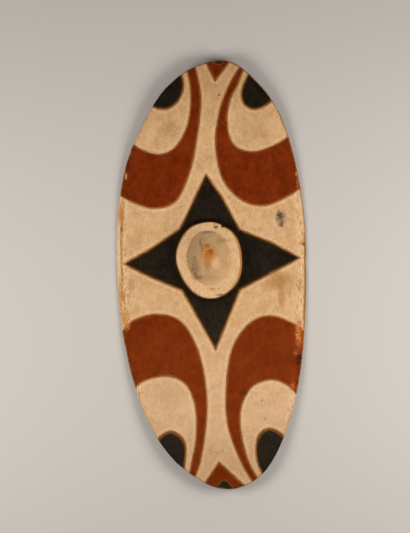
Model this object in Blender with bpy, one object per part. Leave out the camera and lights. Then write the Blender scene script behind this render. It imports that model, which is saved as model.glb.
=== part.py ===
"""Oval wooden shield, carved from one plank, lying on its side edges with its front up.

The board is bowed across its width, so its two tips stand clear of the ground. An oval
boss rises from the middle of the front. Behind it the boss is hollow, and a grip left
standing in the wood bridges the hollow lengthwise. Fine V-grooves part the fields of the
front: a four-pointed star round the boss, a hook and an eye in each quarter, and a
triangle at each tip. Metres, +Z up, +Y along the shield, origin under its middle.
"""
import math

import bmesh
import bpy
from mathutils import Vector

# Board
LENGTH = 1.150
WIDTH = 0.511
BOW = 0.036
MIDDLE_THICKNESS = 0.016
EDGE_THICKNESS = 0.013
EDGE_WALL = 0.008
SIDE_BEVEL = 0.012
TIP_BEVEL = 0.004
BACK_BEVEL = 0.002
LAND_DEPTH = 0.003

# Boss
BOSS_LENGTH = 0.212
BOSS_WIDTH = 0.180
BOSS_FLANK = 0.009
BOSS_SHOULDER = 0.024
BOSS_HEIGHT = 0.043
CAP_SHARE = 0.67
CAP_RISE = 0.011
RING_CURVE = 1.5
BOSS_ROOT = 0.012

# Hollow behind the boss, and the grip that bridges it
HOLLOW_LENGTH = 0.168
HOLLOW_WIDTH = 0.132
BOSS_WALL = 0.014
GRIP_WIDTH = 0.028
GRIP_THICKNESS = 0.020
GRIP_PROUD = 0.018
GRIP_FOOT = 0.030
GRIP_ROUNDING = 0.005

# Grooves
GROOVE_DEPTH = 0.002
GROOVE_CUTTER = 0.003
CURVE_STEPS = 4
STRAIGHT_STEPS = 5

# Mesh
AROUND = 64
RINGS = 9
BOSS_AROUND = 40
BOSS_STEPS = 3
HOLLOW_AROUND = 32
GRIP_ROUND_STEPS = 2
WELD = 1e-5

# The edge's distance from the middle, at even turns from +X, as a share of an ellipse's
ROUNDNESS = (
    0.995, 1.025, 1.05, 1.065, 1.04, 1.025, 0.99, 0.975, 0.98, 0.99, 1.02, 1.015,
    1.0, 0.995, 0.99, 0.985, 0.975, 0.97, 0.995, 1.025, 1.05, 1.04, 1.02, 0.995,
)

# Places on the front, as shares of half the width and half the length
BOSS_PLACE = (-0.025, 0.071)
CAP_PLACE = (-0.04, 0.084)
STAR = (
    (-0.923, 0.064), (-0.64, 0.13), (-0.322, 0.22), (-0.035, 0.47), (0.127, 0.363), (0.303, 0.205),
    (0.621, 0.143), (0.934, 0.069), (0.288, -0.071), (0.016, -0.346), (-0.317, -0.066), (-0.65, -0.001),
)
CURVED_GROOVES = {
    "upper_left_hook_outside": (
        (-1.024, 0.405), (-0.832, 0.355), (-0.59, 0.32), (-0.358, 0.35), (-0.201, 0.485), (-0.105, 0.67),
        (-0.065, 0.826), (-0.105, 0.951), (-0.146, 1.001),
    ),
    "upper_left_hook_inside": (
        (-0.862, 0.655), (-0.721, 0.6), (-0.529, 0.57), (-0.363, 0.595), (-0.237, 0.675), (-0.176, 0.78),
        (-0.171, 0.886), (-0.211, 0.976),
    ),
    "upper_left_eye": (
        (-0.62, 0.821), (-0.539, 0.787), (-0.413, 0.782), (-0.297, 0.821), (-0.242, 0.886), (-0.274, 0.961),
    ),
    "upper_right_hook_outside": (
        (1.015, 0.412), (0.843, 0.363), (0.566, 0.318), (0.318, 0.35), (0.137, 0.45), (0.076, 0.61),
        (0.127, 0.763), (0.238, 0.884), (0.389, 0.991),
    ),
    "upper_right_hook_inside": (
        (0.904, 0.656), (0.712, 0.602), (0.47, 0.57), (0.27, 0.603), (0.202, 0.702), (0.236, 0.808),
        (0.326, 0.887), (0.421, 0.988),
    ),
    "upper_right_eye": (
        (0.726, 0.826), (0.618, 0.785), (0.49, 0.768), (0.382, 0.797), (0.369, 0.859), (0.472, 0.961),
    ),
    "lower_left_hook_outside": (
        (-1.004, -0.285), (-0.897, -0.215), (-0.62, -0.175), (-0.35, -0.209), (-0.179, -0.336),
        (-0.1, -0.511), (-0.103, -0.674), (-0.183, -0.868), (-0.284, -0.974),
    ),
    "lower_left_hook_inside": (
        (-0.909, -0.559), (-0.767, -0.489), (-0.493, -0.465), (-0.297, -0.511), (-0.213, -0.618),
        (-0.216, -0.756), (-0.279, -0.89), (-0.325, -0.959),
    ),
    "lower_left_eye": (
        (-0.66, -0.792), (-0.584, -0.742), (-0.478, -0.722), (-0.364, -0.753), (-0.331, -0.812),
        (-0.366, -0.932),
    ),
    "lower_right_hook_outside": (
        (1.001, -0.291), (0.805, -0.229), (0.586, -0.197), (0.374, -0.231), (0.189, -0.345),
        (0.115, -0.527), (0.124, -0.709), (0.268, -0.892), (0.409, -0.997),
    ),
    "lower_right_hook_inside": (
        (0.887, -0.583), (0.754, -0.522), (0.588, -0.495), (0.386, -0.525), (0.264, -0.62),
        (0.256, -0.743), (0.327, -0.875), (0.451, -0.979),
    ),
    "lower_right_eye": (
        (0.758, -0.784), (0.656, -0.741), (0.541, -0.722), (0.428, -0.764), (0.416, -0.866), (0.494, -0.96),
    ),
}
STRAIGHT_GROOVES = {
    "top_triangle": ((-0.029, 1.017), (0.09, 0.904), (0.286, 1.013)),
    "bottom_triangle": ((-0.18, -0.994), (0.017, -0.871), (0.334, -1.01)),
}

# Finish: limewashed wood
LIME_WHITE = (0.60, 0.39, 0.20, 1.0)
LIME_ROUGHNESS = 0.85


def clear_scene():
    """Empties the file, so that only the shield is left in it."""
    for item in list(bpy.data.objects):
        bpy.data.objects.remove(item, do_unlink=True)


def new_collection(name):
    """Adds a collection to the scene."""
    group = bpy.data.collections.new(name)
    bpy.context.scene.collection.children.link(group)
    return group


def lime_material():
    """Chalky lime white, the colour that covers most of the front."""
    material = bpy.data.materials.new("lime_white")
    material.use_nodes = True
    shader = material.node_tree.nodes["Principled BSDF"]
    shader.inputs["Base Color"].default_value = LIME_WHITE
    shader.inputs["Roughness"].default_value = LIME_ROUGHNESS
    shader.inputs["Metallic"].default_value = 0.0
    return material


def object_from(shape, name, group):
    """Turns a bmesh into a named object in a collection."""
    mesh = bpy.data.meshes.new(name)
    shape.to_mesh(mesh)
    shape.free()
    item = bpy.data.objects.new(name, mesh)
    group.objects.link(item)
    return item


def as_guide(item):
    """Marks an object as a tool that shapes the shield and isn't part of it."""
    item.hide_render = True
    item.display_type = "WIRE"
    return item


def add_boolean(target, operation, name, tool=None, tools=None):
    """Joins or cuts the target with one tool, or with a collection of them."""
    step = target.modifiers.new(name, "BOOLEAN")
    step.operation = operation
    step.solver = "EXACT"
    if tools is None:
        step.object = tool
    else:
        step.operand_type = "COLLECTION"
        step.collection = tools


def between(before, start, end, after, share):
    """Smooth value between start and end, which heeds the values on both sides of them."""
    slope_in = (end - before) / 2
    slope_out = (after - start) / 2
    rise = end - start
    cubic = slope_in + slope_out - 2 * rise
    square = rise - slope_in - cubic
    return start + share * (slope_in + share * (square + share * cubic))


def smooth_path(points, steps):
    """Curve through the points, with a number of steps from each to the next."""
    knots = [Vector(point) for point in points]
    knots = [2 * knots[0] - knots[1]] + knots + [2 * knots[-1] - knots[-2]]
    path = []
    for index in range(1, len(knots) - 2):
        for step in range(steps):
            path.append(between(*knots[index - 1:index + 3], step / steps))
    path.append(knots[-2])
    return path


def straight_path(points, steps):
    """Straight runs between the points, cut into steps so that they can follow the bowed front."""
    path = []
    for start, end in zip(points, points[1:]):
        path += [start.lerp(end, step / steps) for step in range(steps)]
    path.append(points[-1])
    return path


def edge_points():
    """The board's edge seen from the front, fitted to its length and width."""
    loop = []
    for index in range(AROUND):
        angle = math.tau * index / AROUND
        place = len(ROUNDNESS) * index / AROUND
        knot = int(place)
        around = [ROUNDNESS[(knot + step) % len(ROUNDNESS)] for step in (-1, 0, 1, 2)]
        reach = between(*around, place - knot)
        loop.append(Vector((reach * math.cos(angle) * WIDTH, reach * math.sin(angle) * LENGTH)))
    low = Vector((min(point.x for point in loop), min(point.y for point in loop)))
    high = Vector((max(point.x for point in loop), max(point.y for point in loop)))
    middle = (low + high) / 2
    fit = (WIDTH / (high.x - low.x), LENGTH / (high.y - low.y))
    return [Vector(((point.x - middle.x) * fit[0], (point.y - middle.y) * fit[1])) for point in loop]


def on_front(place):
    """A place given in shares of the half sizes, in metres."""
    return Vector((place[0] * WIDTH / 2, place[1] * LENGTH / 2))


def back_height(x):
    """Height of the hollow side over the ground, which falls from the midline to the sides."""
    return (BOW + LAND_DEPTH) * (1 - (x / (WIDTH / 2)) ** 2) - LAND_DEPTH


def front_height(x, y):
    """Height of the painted side, where the board thins from its middle to its edge."""
    share = min((x / (WIDTH / 2)) ** 2 + (y / (LENGTH / 2)) ** 2, 1.0)
    return back_height(x) + MIDDLE_THICKNESS + (EDGE_THICKNESS - MIDDLE_THICKNESS) * share


def pulled_in(point, width):
    """A point of the edge moved towards the middle by a width."""
    return point * (1 - width / point.length)


def board_vertex(ring, edge):
    """Place of a vertex: rings run over the front to its edge, round the wall and back underneath."""
    if ring <= RINGS:
        bevel = TIP_BEVEL + (SIDE_BEVEL - TIP_BEVEL) * (edge.x / (WIDTH / 2)) ** 2
        flat = pulled_in(edge, bevel) * ring / RINGS
        return flat.x, flat.y, front_height(flat.x, flat.y)
    if ring == RINGS + 1:
        return edge.x, edge.y, back_height(edge.x) + EDGE_WALL
    last = 2 * (RINGS + 1)
    flat = pulled_in(edge, BACK_BEVEL) * (last - ring) / RINGS
    return flat.x, flat.y, back_height(flat.x)


def carve_board(group):
    """The bowed oval board: a sphere flattened so that its upper half is the front."""
    shape = bmesh.new()
    bmesh.ops.create_uvsphere(shape, u_segments=AROUND, v_segments=2 * (RINGS + 1), radius=1.0)
    edge = edge_points()
    for vertex in shape.verts:
        turn = math.atan2(vertex.co.y, vertex.co.x) / math.tau
        fall = math.acos(max(-1.0, min(1.0, vertex.co.z))) / math.pi
        ring = round(fall * 2 * (RINGS + 1))
        vertex.co = board_vertex(ring, edge[round(turn * AROUND) % AROUND])
    bmesh.ops.triangulate(shape, faces=shape.faces)
    return object_from(shape, "shield", group)


def boss_profile():
    """Half section of the boss over the board's middle, from its top to its root."""
    cap_height = BOSS_HEIGHT - CAP_RISE
    ring_width = 1 - CAP_SHARE
    flank = 1 + BOSS_FLANK / (BOSS_WIDTH / 2)
    sunk = front_height(BOSS_WIDTH / 2, 0) - front_height(0, 0)
    profile = []
    for step in range(BOSS_STEPS + 1):
        share = step / BOSS_STEPS
        profile.append((CAP_SHARE * share, cap_height + CAP_RISE * (1 - share ** 2)))
    for step in range(1, BOSS_STEPS + 1):
        share = step / BOSS_STEPS
        fall = (cap_height - BOSS_SHOULDER) * share ** RING_CURVE
        profile.append((CAP_SHARE + ring_width * share, cap_height - fall))
    return profile + [(flank, sunk), (flank, -BOSS_ROOT), (0, -BOSS_ROOT)]


def raise_boss(group):
    """The oval boss, with a steep flank, a sloping ring and a domed cap that leans to one side."""
    shape = bmesh.new()
    profile = [shape.verts.new((radius, 0, height)) for radius, height in boss_profile()]
    edges = [shape.edges.new(pair) for pair in zip(profile, profile[1:])]
    bmesh.ops.spin(
        shape, geom=profile + edges, cent=(0, 0, 0), axis=(0, 0, 1), angle=math.tau, steps=BOSS_AROUND,
        use_merge=True,
    )
    bmesh.ops.remove_doubles(shape, verts=shape.verts, dist=WELD)
    lean = on_front(CAP_PLACE) - on_front(BOSS_PLACE)
    for vertex in shape.verts:
        share = max(0.0, 1 - Vector(vertex.co.xy).length) if vertex.co.z > 0 else 0.0
        vertex.co.x = vertex.co.x * BOSS_WIDTH / 2 + lean.x * share
        vertex.co.y = vertex.co.y * BOSS_LENGTH / 2 + lean.y * share
    bmesh.ops.recalc_face_normals(shape, faces=shape.faces)
    boss = as_guide(object_from(shape, "boss_stock", group))
    boss.location = (*on_front(BOSS_PLACE), front_height(0, 0))
    return boss


def hollow_tool(group):
    """The oval hollow behind the boss, which leaves a wall of even thickness over the hand."""
    shape = bmesh.new()
    bmesh.ops.create_uvsphere(shape, u_segments=HOLLOW_AROUND, v_segments=HOLLOW_AROUND // 2, radius=1.0)
    roof = front_height(0, 0) + BOSS_HEIGHT - BOSS_WALL
    depth = roof - back_height(0)
    bmesh.ops.scale(shape, vec=(HOLLOW_WIDTH / 2, HOLLOW_LENGTH / 2, depth), verts=shape.verts)
    hollow = as_guide(object_from(shape, "hollow_tool", group))
    hollow.location = (*on_front(BOSS_PLACE), back_height(0))
    return hollow


def grip_bar(group):
    """The grip: a bar with a flat underside, whose feet slope up into the board."""
    shape = bmesh.new()
    bmesh.ops.create_cube(shape, size=1.0)
    length = HOLLOW_LENGTH + 2 * GRIP_FOOT
    bmesh.ops.scale(shape, vec=(GRIP_WIDTH, length, GRIP_THICKNESS), verts=shape.verts)
    for vertex in shape.verts:
        if vertex.co.z < 0:
            vertex.co.y -= math.copysign(GRIP_FOOT, vertex.co.y)
    long_edges = [edge for edge in shape.edges if abs(edge.verts[0].co.x - edge.verts[1].co.x) < WELD]
    bmesh.ops.bevel(
        shape, geom=long_edges, offset=GRIP_ROUNDING, offset_type="OFFSET", segments=GRIP_ROUND_STEPS,
        profile=0.5, affect="EDGES", material=-1, clamp_overlap=True,
    )
    grip = as_guide(object_from(shape, "grip_stock", group))
    underside = back_height(0) - GRIP_PROUD
    grip.location = (*on_front(BOSS_PLACE), underside + GRIP_THICKNESS / 2)
    return grip


def ground_tool(group):
    """A block under the ground plane, which flattens the side edges where the shield rests."""
    shape = bmesh.new()
    bmesh.ops.create_cube(shape, size=1.0)
    bmesh.ops.scale(shape, vec=(2 * WIDTH, 2 * LENGTH, BOW), verts=shape.verts)
    bmesh.ops.translate(shape, vec=(0, 0, -BOW / 2), verts=shape.verts)
    return as_guide(object_from(shape, "ground_tool", group))


def groove_tool(name, path, closed, group):
    """A four-sided rod that follows the front and cuts a V-groove into it."""
    curve = bpy.data.curves.new(name, "CURVE")
    curve.dimensions = "3D"
    curve.twist_mode = "Z_UP"
    curve.bevel_depth = GROOVE_CUTTER
    curve.bevel_resolution = 0
    curve.use_fill_caps = True
    spline = curve.splines.new("POLY")
    spline.points.add(len(path) - 1)
    for knot, place in zip(spline.points, path):
        height = front_height(place.x, place.y) + GROOVE_CUTTER - GROOVE_DEPTH
        knot.co = (place.x, place.y, height, 1.0)
    spline.use_cyclic_u = closed
    rod = bpy.data.objects.new(name, curve)
    group.objects.link(rod)
    bpy.context.view_layer.update()
    mesh = bpy.data.meshes.new_from_object(rod.evaluated_get(bpy.context.evaluated_depsgraph_get()))
    bpy.data.objects.remove(rod, do_unlink=True)
    shape = bmesh.new()
    shape.from_mesh(mesh)
    bmesh.ops.remove_doubles(shape, verts=shape.verts, dist=WELD)
    bmesh.ops.triangulate(shape, faces=shape.faces)
    bmesh.ops.recalc_face_normals(shape, faces=shape.faces)
    return as_guide(object_from(shape, name, group))


def cut_grooves(shield, group):
    """Cuts the star, the hooks, the eyes and the triangles into the front."""
    star = [on_front(place) for place in STAR + STAR[:1]]
    groove_tool("star_groove", straight_path(star, STRAIGHT_STEPS)[:-1], True, group)
    for name, points in CURVED_GROOVES.items():
        path = [on_front(place) for place in smooth_path(points, CURVE_STEPS)]
        groove_tool(name, path, False, group)
    for name, points in STRAIGHT_GROOVES.items():
        path = straight_path([on_front(place) for place in points], STRAIGHT_STEPS)
        groove_tool(name, path, False, group)
    add_boolean(shield, "DIFFERENCE", "grooves", tools=group)


def build():
    """Makes the shield as one solid."""
    clear_scene()
    parts = new_collection("ceremonial_shield")
    guides = new_collection("guides")
    grooves = new_collection("groove_tools")
    shield = carve_board(parts)
    shield.data.materials.append(lime_material())
    add_boolean(shield, "UNION", "boss", tool=raise_boss(guides))
    add_boolean(shield, "DIFFERENCE", "hollow", tool=hollow_tool(guides))
    add_boolean(shield, "UNION", "grip", tool=grip_bar(guides))
    add_boolean(shield, "DIFFERENCE", "rest_lands", tool=ground_tool(guides))
    cut_grooves(shield, grooves)


build()
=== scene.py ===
"""Dresses the carved shield: its fine carving, its paints and bare wood, and a plain studio.

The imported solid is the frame. One fine mesh stands for it: the same bowed board, boss, hollow
and grip, with hand-cut grooves, tool marks and worn edges. Metres, +Z up, +Y along the shield.
"""

import logging
import math
from collections.abc import Callable
from dataclasses import dataclass, field
from enum import Enum

import bmesh
import bpy
import numpy as np
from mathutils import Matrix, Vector, kdtree, noise

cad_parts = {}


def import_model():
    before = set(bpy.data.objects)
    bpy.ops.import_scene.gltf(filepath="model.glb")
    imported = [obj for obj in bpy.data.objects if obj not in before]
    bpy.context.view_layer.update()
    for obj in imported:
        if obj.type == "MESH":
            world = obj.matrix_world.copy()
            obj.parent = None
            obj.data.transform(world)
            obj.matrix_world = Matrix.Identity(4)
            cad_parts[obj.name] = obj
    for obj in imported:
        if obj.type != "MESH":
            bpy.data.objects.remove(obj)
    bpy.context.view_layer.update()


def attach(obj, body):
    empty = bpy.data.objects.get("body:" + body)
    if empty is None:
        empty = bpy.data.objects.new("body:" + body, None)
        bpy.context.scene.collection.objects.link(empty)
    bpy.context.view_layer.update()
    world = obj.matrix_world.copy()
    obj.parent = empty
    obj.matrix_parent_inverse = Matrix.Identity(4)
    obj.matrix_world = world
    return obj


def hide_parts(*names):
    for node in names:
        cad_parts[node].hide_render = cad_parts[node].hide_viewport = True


LOG = logging.getLogger("shield")
MILLIMETRE = 0.001
OVAL_RUNS = 360
RIPPLE_REACH = 1.6
UNDULATION_SEED = 3.1
RIPPLE_SEED = 17.0
GROOVE_SEED = 8.4
RIM_SEED = 5.5
STIR = (12.9898, 78.233)
STIR_SIZE = 43758.5453
STIR_TURN = 7.13
FAR = 9.0
TINY = 1e-9
SCREEN_TOP = 255
TOE_END = 0.04045
TOE_SLOPE = 12.92
CURVE_SHIFT = 0.055
CURVE_POWER = 2.4

Colour = tuple[float, float, float, float]
Place = tuple[float, float]
Number = float | np.ndarray
EdgeShift = Callable[[np.ndarray], np.ndarray]
Socket = bpy.types.NodeSocket
Feed = Socket | float | tuple[float, ...]


def light(red: int, green: int, blue: int) -> Colour:
    """Turns a colour as a screen shows it into linear light.

    Args:
        red: Red, from 0 to 255.
        green: Green, from 0 to 255.
        blue: Blue, from 0 to 255.

    Returns:
        The colour in linear light, opaque.
    """
    shares = (value / SCREEN_TOP for value in (red, green, blue))
    linear = (
        share / TOE_SLOPE if share <= TOE_END else ((share + CURVE_SHIFT) / (1 + CURVE_SHIFT)) ** CURVE_POWER
        for share in shares
    )
    return (*linear, 1.0)


def between(before: Number, start: Number, end: Number, after: Number, share: Number) -> Number:
    """Smooth value between start and end, which heeds the values on both sides of them.

    Args:
        before: Value before start.
        start: Value at share 0.
        end: Value at share 1.
        after: Value after end.
        share: How far from start to end, from 0 to 1.

    Returns:
        The value at the share.
    """
    slope_in = (end - before) / 2
    slope_out = (after - start) / 2
    rise = end - start
    cubic = slope_in + slope_out - 2 * rise
    square = rise - slope_in - cubic
    return start + share * (slope_in + share * (square + share * cubic))


def around(knots: tuple[float, ...], turn: np.ndarray) -> np.ndarray:
    """Smooth value round a closed ring of knots.

    Args:
        knots: Values at even steps round the ring.
        turn: Turns round the ring, from 0 to 1.

    Returns:
        The value at each turn.
    """
    ring = np.array(knots)
    place = np.mod(turn, 1.0) * len(ring)
    knot = place.astype(int)
    beside = [ring[(knot + step) % len(ring)] for step in (-1, 0, 1, 2)]
    return between(*beside, place - knot)


def oval_path(middle: np.ndarray, half: np.ndarray) -> np.ndarray:
    """Closed oval line.

    Args:
        middle: Its middle.
        half: Half its width and half its length, one pair for all points or one for each.

    Returns:
        Its points, the first one again at the end.
    """
    angle = np.linspace(0.0, math.tau, OVAL_RUNS + 1)
    return middle + np.stack((np.cos(angle), np.sin(angle)), 1) * half


def ramp(value: np.ndarray, low: float, high: float) -> np.ndarray:
    """Soft step from 0 at low to 1 at high.

    Args:
        value: Values to grade.
        low: Where the step starts.
        high: Where the step ends.

    Returns:
        Shares from 0 to 1.
    """
    share = np.clip((value - low) / (high - low), 0.0, 1.0)
    return share * share * (3 - 2 * share)


def ripple(places: np.ndarray, size: float, seed: float) -> np.ndarray:
    """Smooth random ripple over places.

    Args:
        places: Points, one to a row.
        size: Width of a ripple in metres, one number or one for each axis.
        seed: Shifts the pattern, so that two ripples differ.

    Returns:
        One value for each place, about -1 to 1.
    """
    scaled = places / np.asarray(size) + seed
    return np.array([noise.noise(Vector(place)) for place in scaled.tolist()]) * RIPPLE_REACH


class Field(Enum):
    """Paints that fill the carved fields. The lime white lies under them all."""

    OCHRE = "ochre"
    SOOT = "soot"


class Side(Enum):
    """Surfaces of the shield, which take their material in this order."""

    PAINTED = 0
    HEWN = 1
    HELD = 2


@dataclass
class Board:
    """The bowed oval board: its outline, its rim and the heights of its two sides."""

    length: float = 1.150
    width: float = 0.511
    bow: float = 0.036
    middle_thickness: float = 0.016
    edge_thickness: float = 0.013
    edge_wall: float = 0.008
    side_bevel: float = 0.012
    tip_bevel: float = 0.004
    back_bevel: float = 0.002
    land_depth: float = 0.003
    roundness: tuple[float, ...] = (
        0.995, 1.025, 1.05, 1.065, 1.04, 1.025, 0.99, 0.975, 0.98, 0.99, 1.02, 1.015,
        1.0, 0.995, 0.99, 0.985, 0.975, 0.97, 0.995, 1.025, 1.05, 1.04, 1.02, 0.995,
    )
    inset: float = 0.0003
    fitting_points: int = 2880
    middle: np.ndarray = field(init=False, repr=False)
    fit: np.ndarray = field(init=False, repr=False)

    def __post_init__(self) -> None:
        """Finds the shift and stretch that fit the outline to the length and the width."""
        loop = self._reach(np.linspace(0.0, 1.0, self.fitting_points, endpoint=False))
        low, high = loop.min(0), loop.max(0)
        self.middle = (low + high) / 2
        self.fit = (np.array((self.width, self.length)) - 2 * self.inset) / (high - low)

    def _reach(self, turn: np.ndarray) -> np.ndarray:
        """Points of the outline before it is fitted.

        Args:
            turn: Turns round the board, from 0 to 1.

        Returns:
            One point for each turn.
        """
        reach = around(self.roundness, turn)
        angle = turn * math.tau
        return np.stack((reach * np.cos(angle) * self.width, reach * np.sin(angle) * self.length), 1)

    def outline(self, turn: np.ndarray) -> np.ndarray:
        """Points of the board's outermost edge, for turns from 0 to 1."""
        return (self._reach(turn) - self.middle) * self.fit

    def bevel(self, edge: np.ndarray) -> np.ndarray:
        """Width of the sloping rim at points of the edge: broad at the sides, narrow at the tips."""
        return self.tip_bevel + (self.side_bevel - self.tip_bevel) * (edge[:, 0] / (self.width / 2)) ** 2

    @staticmethod
    def pulled_in(edge: np.ndarray, width: np.ndarray) -> np.ndarray:
        """Points of the edge moved towards the middle by a width."""
        return edge * (1 - width / np.linalg.norm(edge, axis=1))[:, None]

    def back_height(self, x: np.ndarray) -> np.ndarray:
        """Height of the hollow side over the ground."""
        return (self.bow + self.land_depth) * (1 - (x / (self.width / 2)) ** 2) - self.land_depth

    def front_height(self, x: np.ndarray, y: np.ndarray) -> np.ndarray:
        """Height of the painted side over the ground, without the boss.

        Args:
            x: Places across the board.
            y: Places along the board.

        Returns:
            Height at each of them.
        """
        share = np.minimum((x / (self.width / 2)) ** 2 + (y / (self.length / 2)) ** 2, 1.0)
        thinning = (self.edge_thickness - self.middle_thickness) * share
        return self.back_height(x) + self.middle_thickness + thinning

    def spot(self, place: Place) -> np.ndarray:
        """A place given in shares of the half sizes, in metres."""
        return np.array((place[0] * self.width / 2, place[1] * self.length / 2))


@dataclass
class Boss:
    """The oval boss on the front, and the hollow behind it."""

    board: Board
    place: Place = (-0.025, 0.071)
    cap_place: Place = (-0.04, 0.084)
    length: float = 0.212
    width: float = 0.180
    flank: float = 0.009
    shoulder: float = 0.024
    height: float = 0.043
    cap_share: float = 0.67
    cap_rise: float = 0.011
    ring_curve: float = 1.5
    hollow_length: float = 0.168
    hollow_width: float = 0.132
    wall: float = 0.014
    chisel_cuts: int = 58
    chisel_depth: float = 0.012
    chisel_sways: tuple[Place, ...] = ((1.3, 3.0), (0.8, 7.0))
    chisel_middle: float = 0.6
    flank_top: Place = (0.99, 1.02)
    flank_fade: float = 0.02
    crown_clearance: float = 0.0006
    lean_rounds: int = 6
    roundness: tuple[float, ...] = (
        0.965, 0.975, 0.99, 0.985, 0.955, 0.96, 0.955, 0.96, 0.985, 0.99, 0.99, 0.995,
        0.98, 0.945, 0.93, 0.93, 0.95, 0.965, 0.97, 0.98, 0.98, 0.995, 1.0, 0.985,
    )

    @property
    def middle(self) -> np.ndarray:
        """Middle of the boss in plan."""
        return self.board.spot(self.place)

    @property
    def root_share(self) -> float:
        """Where the flank meets the board, as a share of the boss's half width."""
        return 1 + self.flank / (self.width / 2)

    def share(self, plan: np.ndarray) -> np.ndarray:
        """Distance from the boss's middle: 1 at its shoulder, with the cap leaning to its own place.

        Args:
            plan: Points in plan, one to a row.

        Returns:
            One share for each point.
        """
        lean = self.board.spot(self.cap_place) - self.middle
        half = np.array((self.width / 2, self.length / 2))
        offset = plan - self.middle
        share = self.hand_cut(offset / half)
        for _ in range(self.lean_rounds):
            shift = np.clip(1 - share, 0.0, 1.0)[:, None] * lean
            share = self.hand_cut((offset - shift) / half)
        return share

    def hand_cut(self, offset: np.ndarray) -> np.ndarray:
        """Distance from the middle of a round as uneven as the boss, 1 at its edge."""
        turn = np.arctan2(offset[:, 1], offset[:, 0]) / math.tau
        return np.linalg.norm(offset, axis=1) / around(self.roundness, turn)

    def oval(self, share: float) -> np.ndarray:
        """A closed line round the boss.

        Args:
            share: The line's size as a share of the boss's own.

        Returns:
            Its points, the first one again at the end.
        """
        lean = (self.board.spot(self.cap_place) - self.middle) * max(0.0, 1 - share)
        reach = around(self.roundness, np.linspace(0.0, 1.0, OVAL_RUNS + 1))[:, None]
        return oval_path(self.middle + lean, np.array((self.width / 2, self.length / 2)) * share * reach)

    def raise_front(self, plan: np.ndarray, ground: np.ndarray) -> np.ndarray:
        """Height of the front with the boss on it.

        Args:
            plan: Points in plan, one to a row.
            ground: Height of the plain front at each of them.

        Returns:
            Height at each of them.
        """
        base = float(self.board.front_height(np.zeros(1), np.zeros(1))[0])
        share = self.share(plan)
        offset = plan - self.middle
        angle = np.arctan2(offset[:, 1] / self.length, offset[:, 0] / self.width)
        sway = sum(size * np.sin(waves * angle) for size, waves in self.chisel_sways)
        cut = np.abs(np.sin(angle * self.chisel_cuts / 2 + sway))
        fade = ramp(share, self.root_share - self.flank_fade, self.root_share)
        on_flank = ramp(share, *self.flank_top) * (1 - fade)
        share = share + on_flank * self.chisel_depth * (cut - self.chisel_middle)
        cap_height = self.height - self.cap_rise - self.crown_clearance
        crown = cap_height + self.cap_rise * (1 - (share / self.cap_share) ** 2)
        along = np.clip((share - self.cap_share) / (1 - self.cap_share), 0.0, 1.0)
        ring = cap_height - (cap_height - self.shoulder) * along ** self.ring_curve
        fall = np.clip((share - 1) / (self.root_share - 1), 0.0, 1.0)
        flank = (base + self.shoulder) * (1 - fall) + ground * fall
        return np.where(share < self.cap_share, base + crown, np.where(share < 1, base + ring, flank))

    def hollow_height(self, plan: np.ndarray, ground: np.ndarray) -> np.ndarray:
        """Height of the back with the hollow in it.

        Args:
            plan: Points in plan, one to a row.
            ground: Height of the plain back at each of them.

        Returns:
            Height at each of them.
        """
        middle_back = float(self.board.back_height(np.zeros(1))[0])
        middle_front = float(self.board.front_height(np.zeros(1), np.zeros(1))[0])
        depth = middle_front + self.height - self.wall - middle_back
        half = np.array((self.hollow_width / 2, self.hollow_length / 2))
        share = np.minimum(np.linalg.norm((plan - self.middle) / half, axis=1), 1.0)
        roof = middle_back + depth * np.sqrt(1 - share ** 2)
        return np.maximum(ground, np.where(share < 1, roof, ground))


@dataclass
class Lines:
    """Cut or painted lines, held so that the nearest point on them can be asked for."""

    paths: list[np.ndarray]
    step: float = 0.0006
    points: np.ndarray = field(init=False, repr=False)
    starts: np.ndarray = field(init=False, repr=False)
    ends: np.ndarray = field(init=False, repr=False)
    tree: kdtree.KDTree = field(init=False, repr=False)

    def __post_init__(self) -> None:
        """Cuts every line into short runs and sorts their middles by place."""
        starts, ends = [], []
        for path in self.paths:
            for start, end in zip(path, path[1:]):
                count = max(1, int(np.linalg.norm(end - start) / self.step))
                cuts = start + (end - start) * np.linspace(0.0, 1.0, count + 1)[:, None]
                starts.append(cuts[:-1])
                ends.append(cuts[1:])
        self.starts, self.ends = np.concatenate(starts), np.concatenate(ends)
        self.points = (self.starts + self.ends) / 2
        self.tree = kdtree.KDTree(len(self.points))
        for index, point in enumerate(self.points.tolist()):
            self.tree.insert((*point, 0.0), index)
        self.tree.balance()

    def nearest(self, plan: np.ndarray) -> tuple[np.ndarray, np.ndarray]:
        """Finds the nearest point of the lines.

        Args:
            plan: Points in plan, one to a row.

        Returns:
            The distance of each point to the lines, and the nearest point on them.
        """
        found = np.array([self.tree.find((*point, 0.0))[1] for point in plan.tolist()])
        start, run = self.starts[found], self.ends[found] - self.starts[found]
        share = np.einsum("ij,ij->i", plan - start, run) / np.einsum("ij,ij->i", run, run)
        foot = start + run * np.clip(share, 0.0, 1.0)[:, None]
        return np.linalg.norm(plan - foot, axis=1), foot


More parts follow.
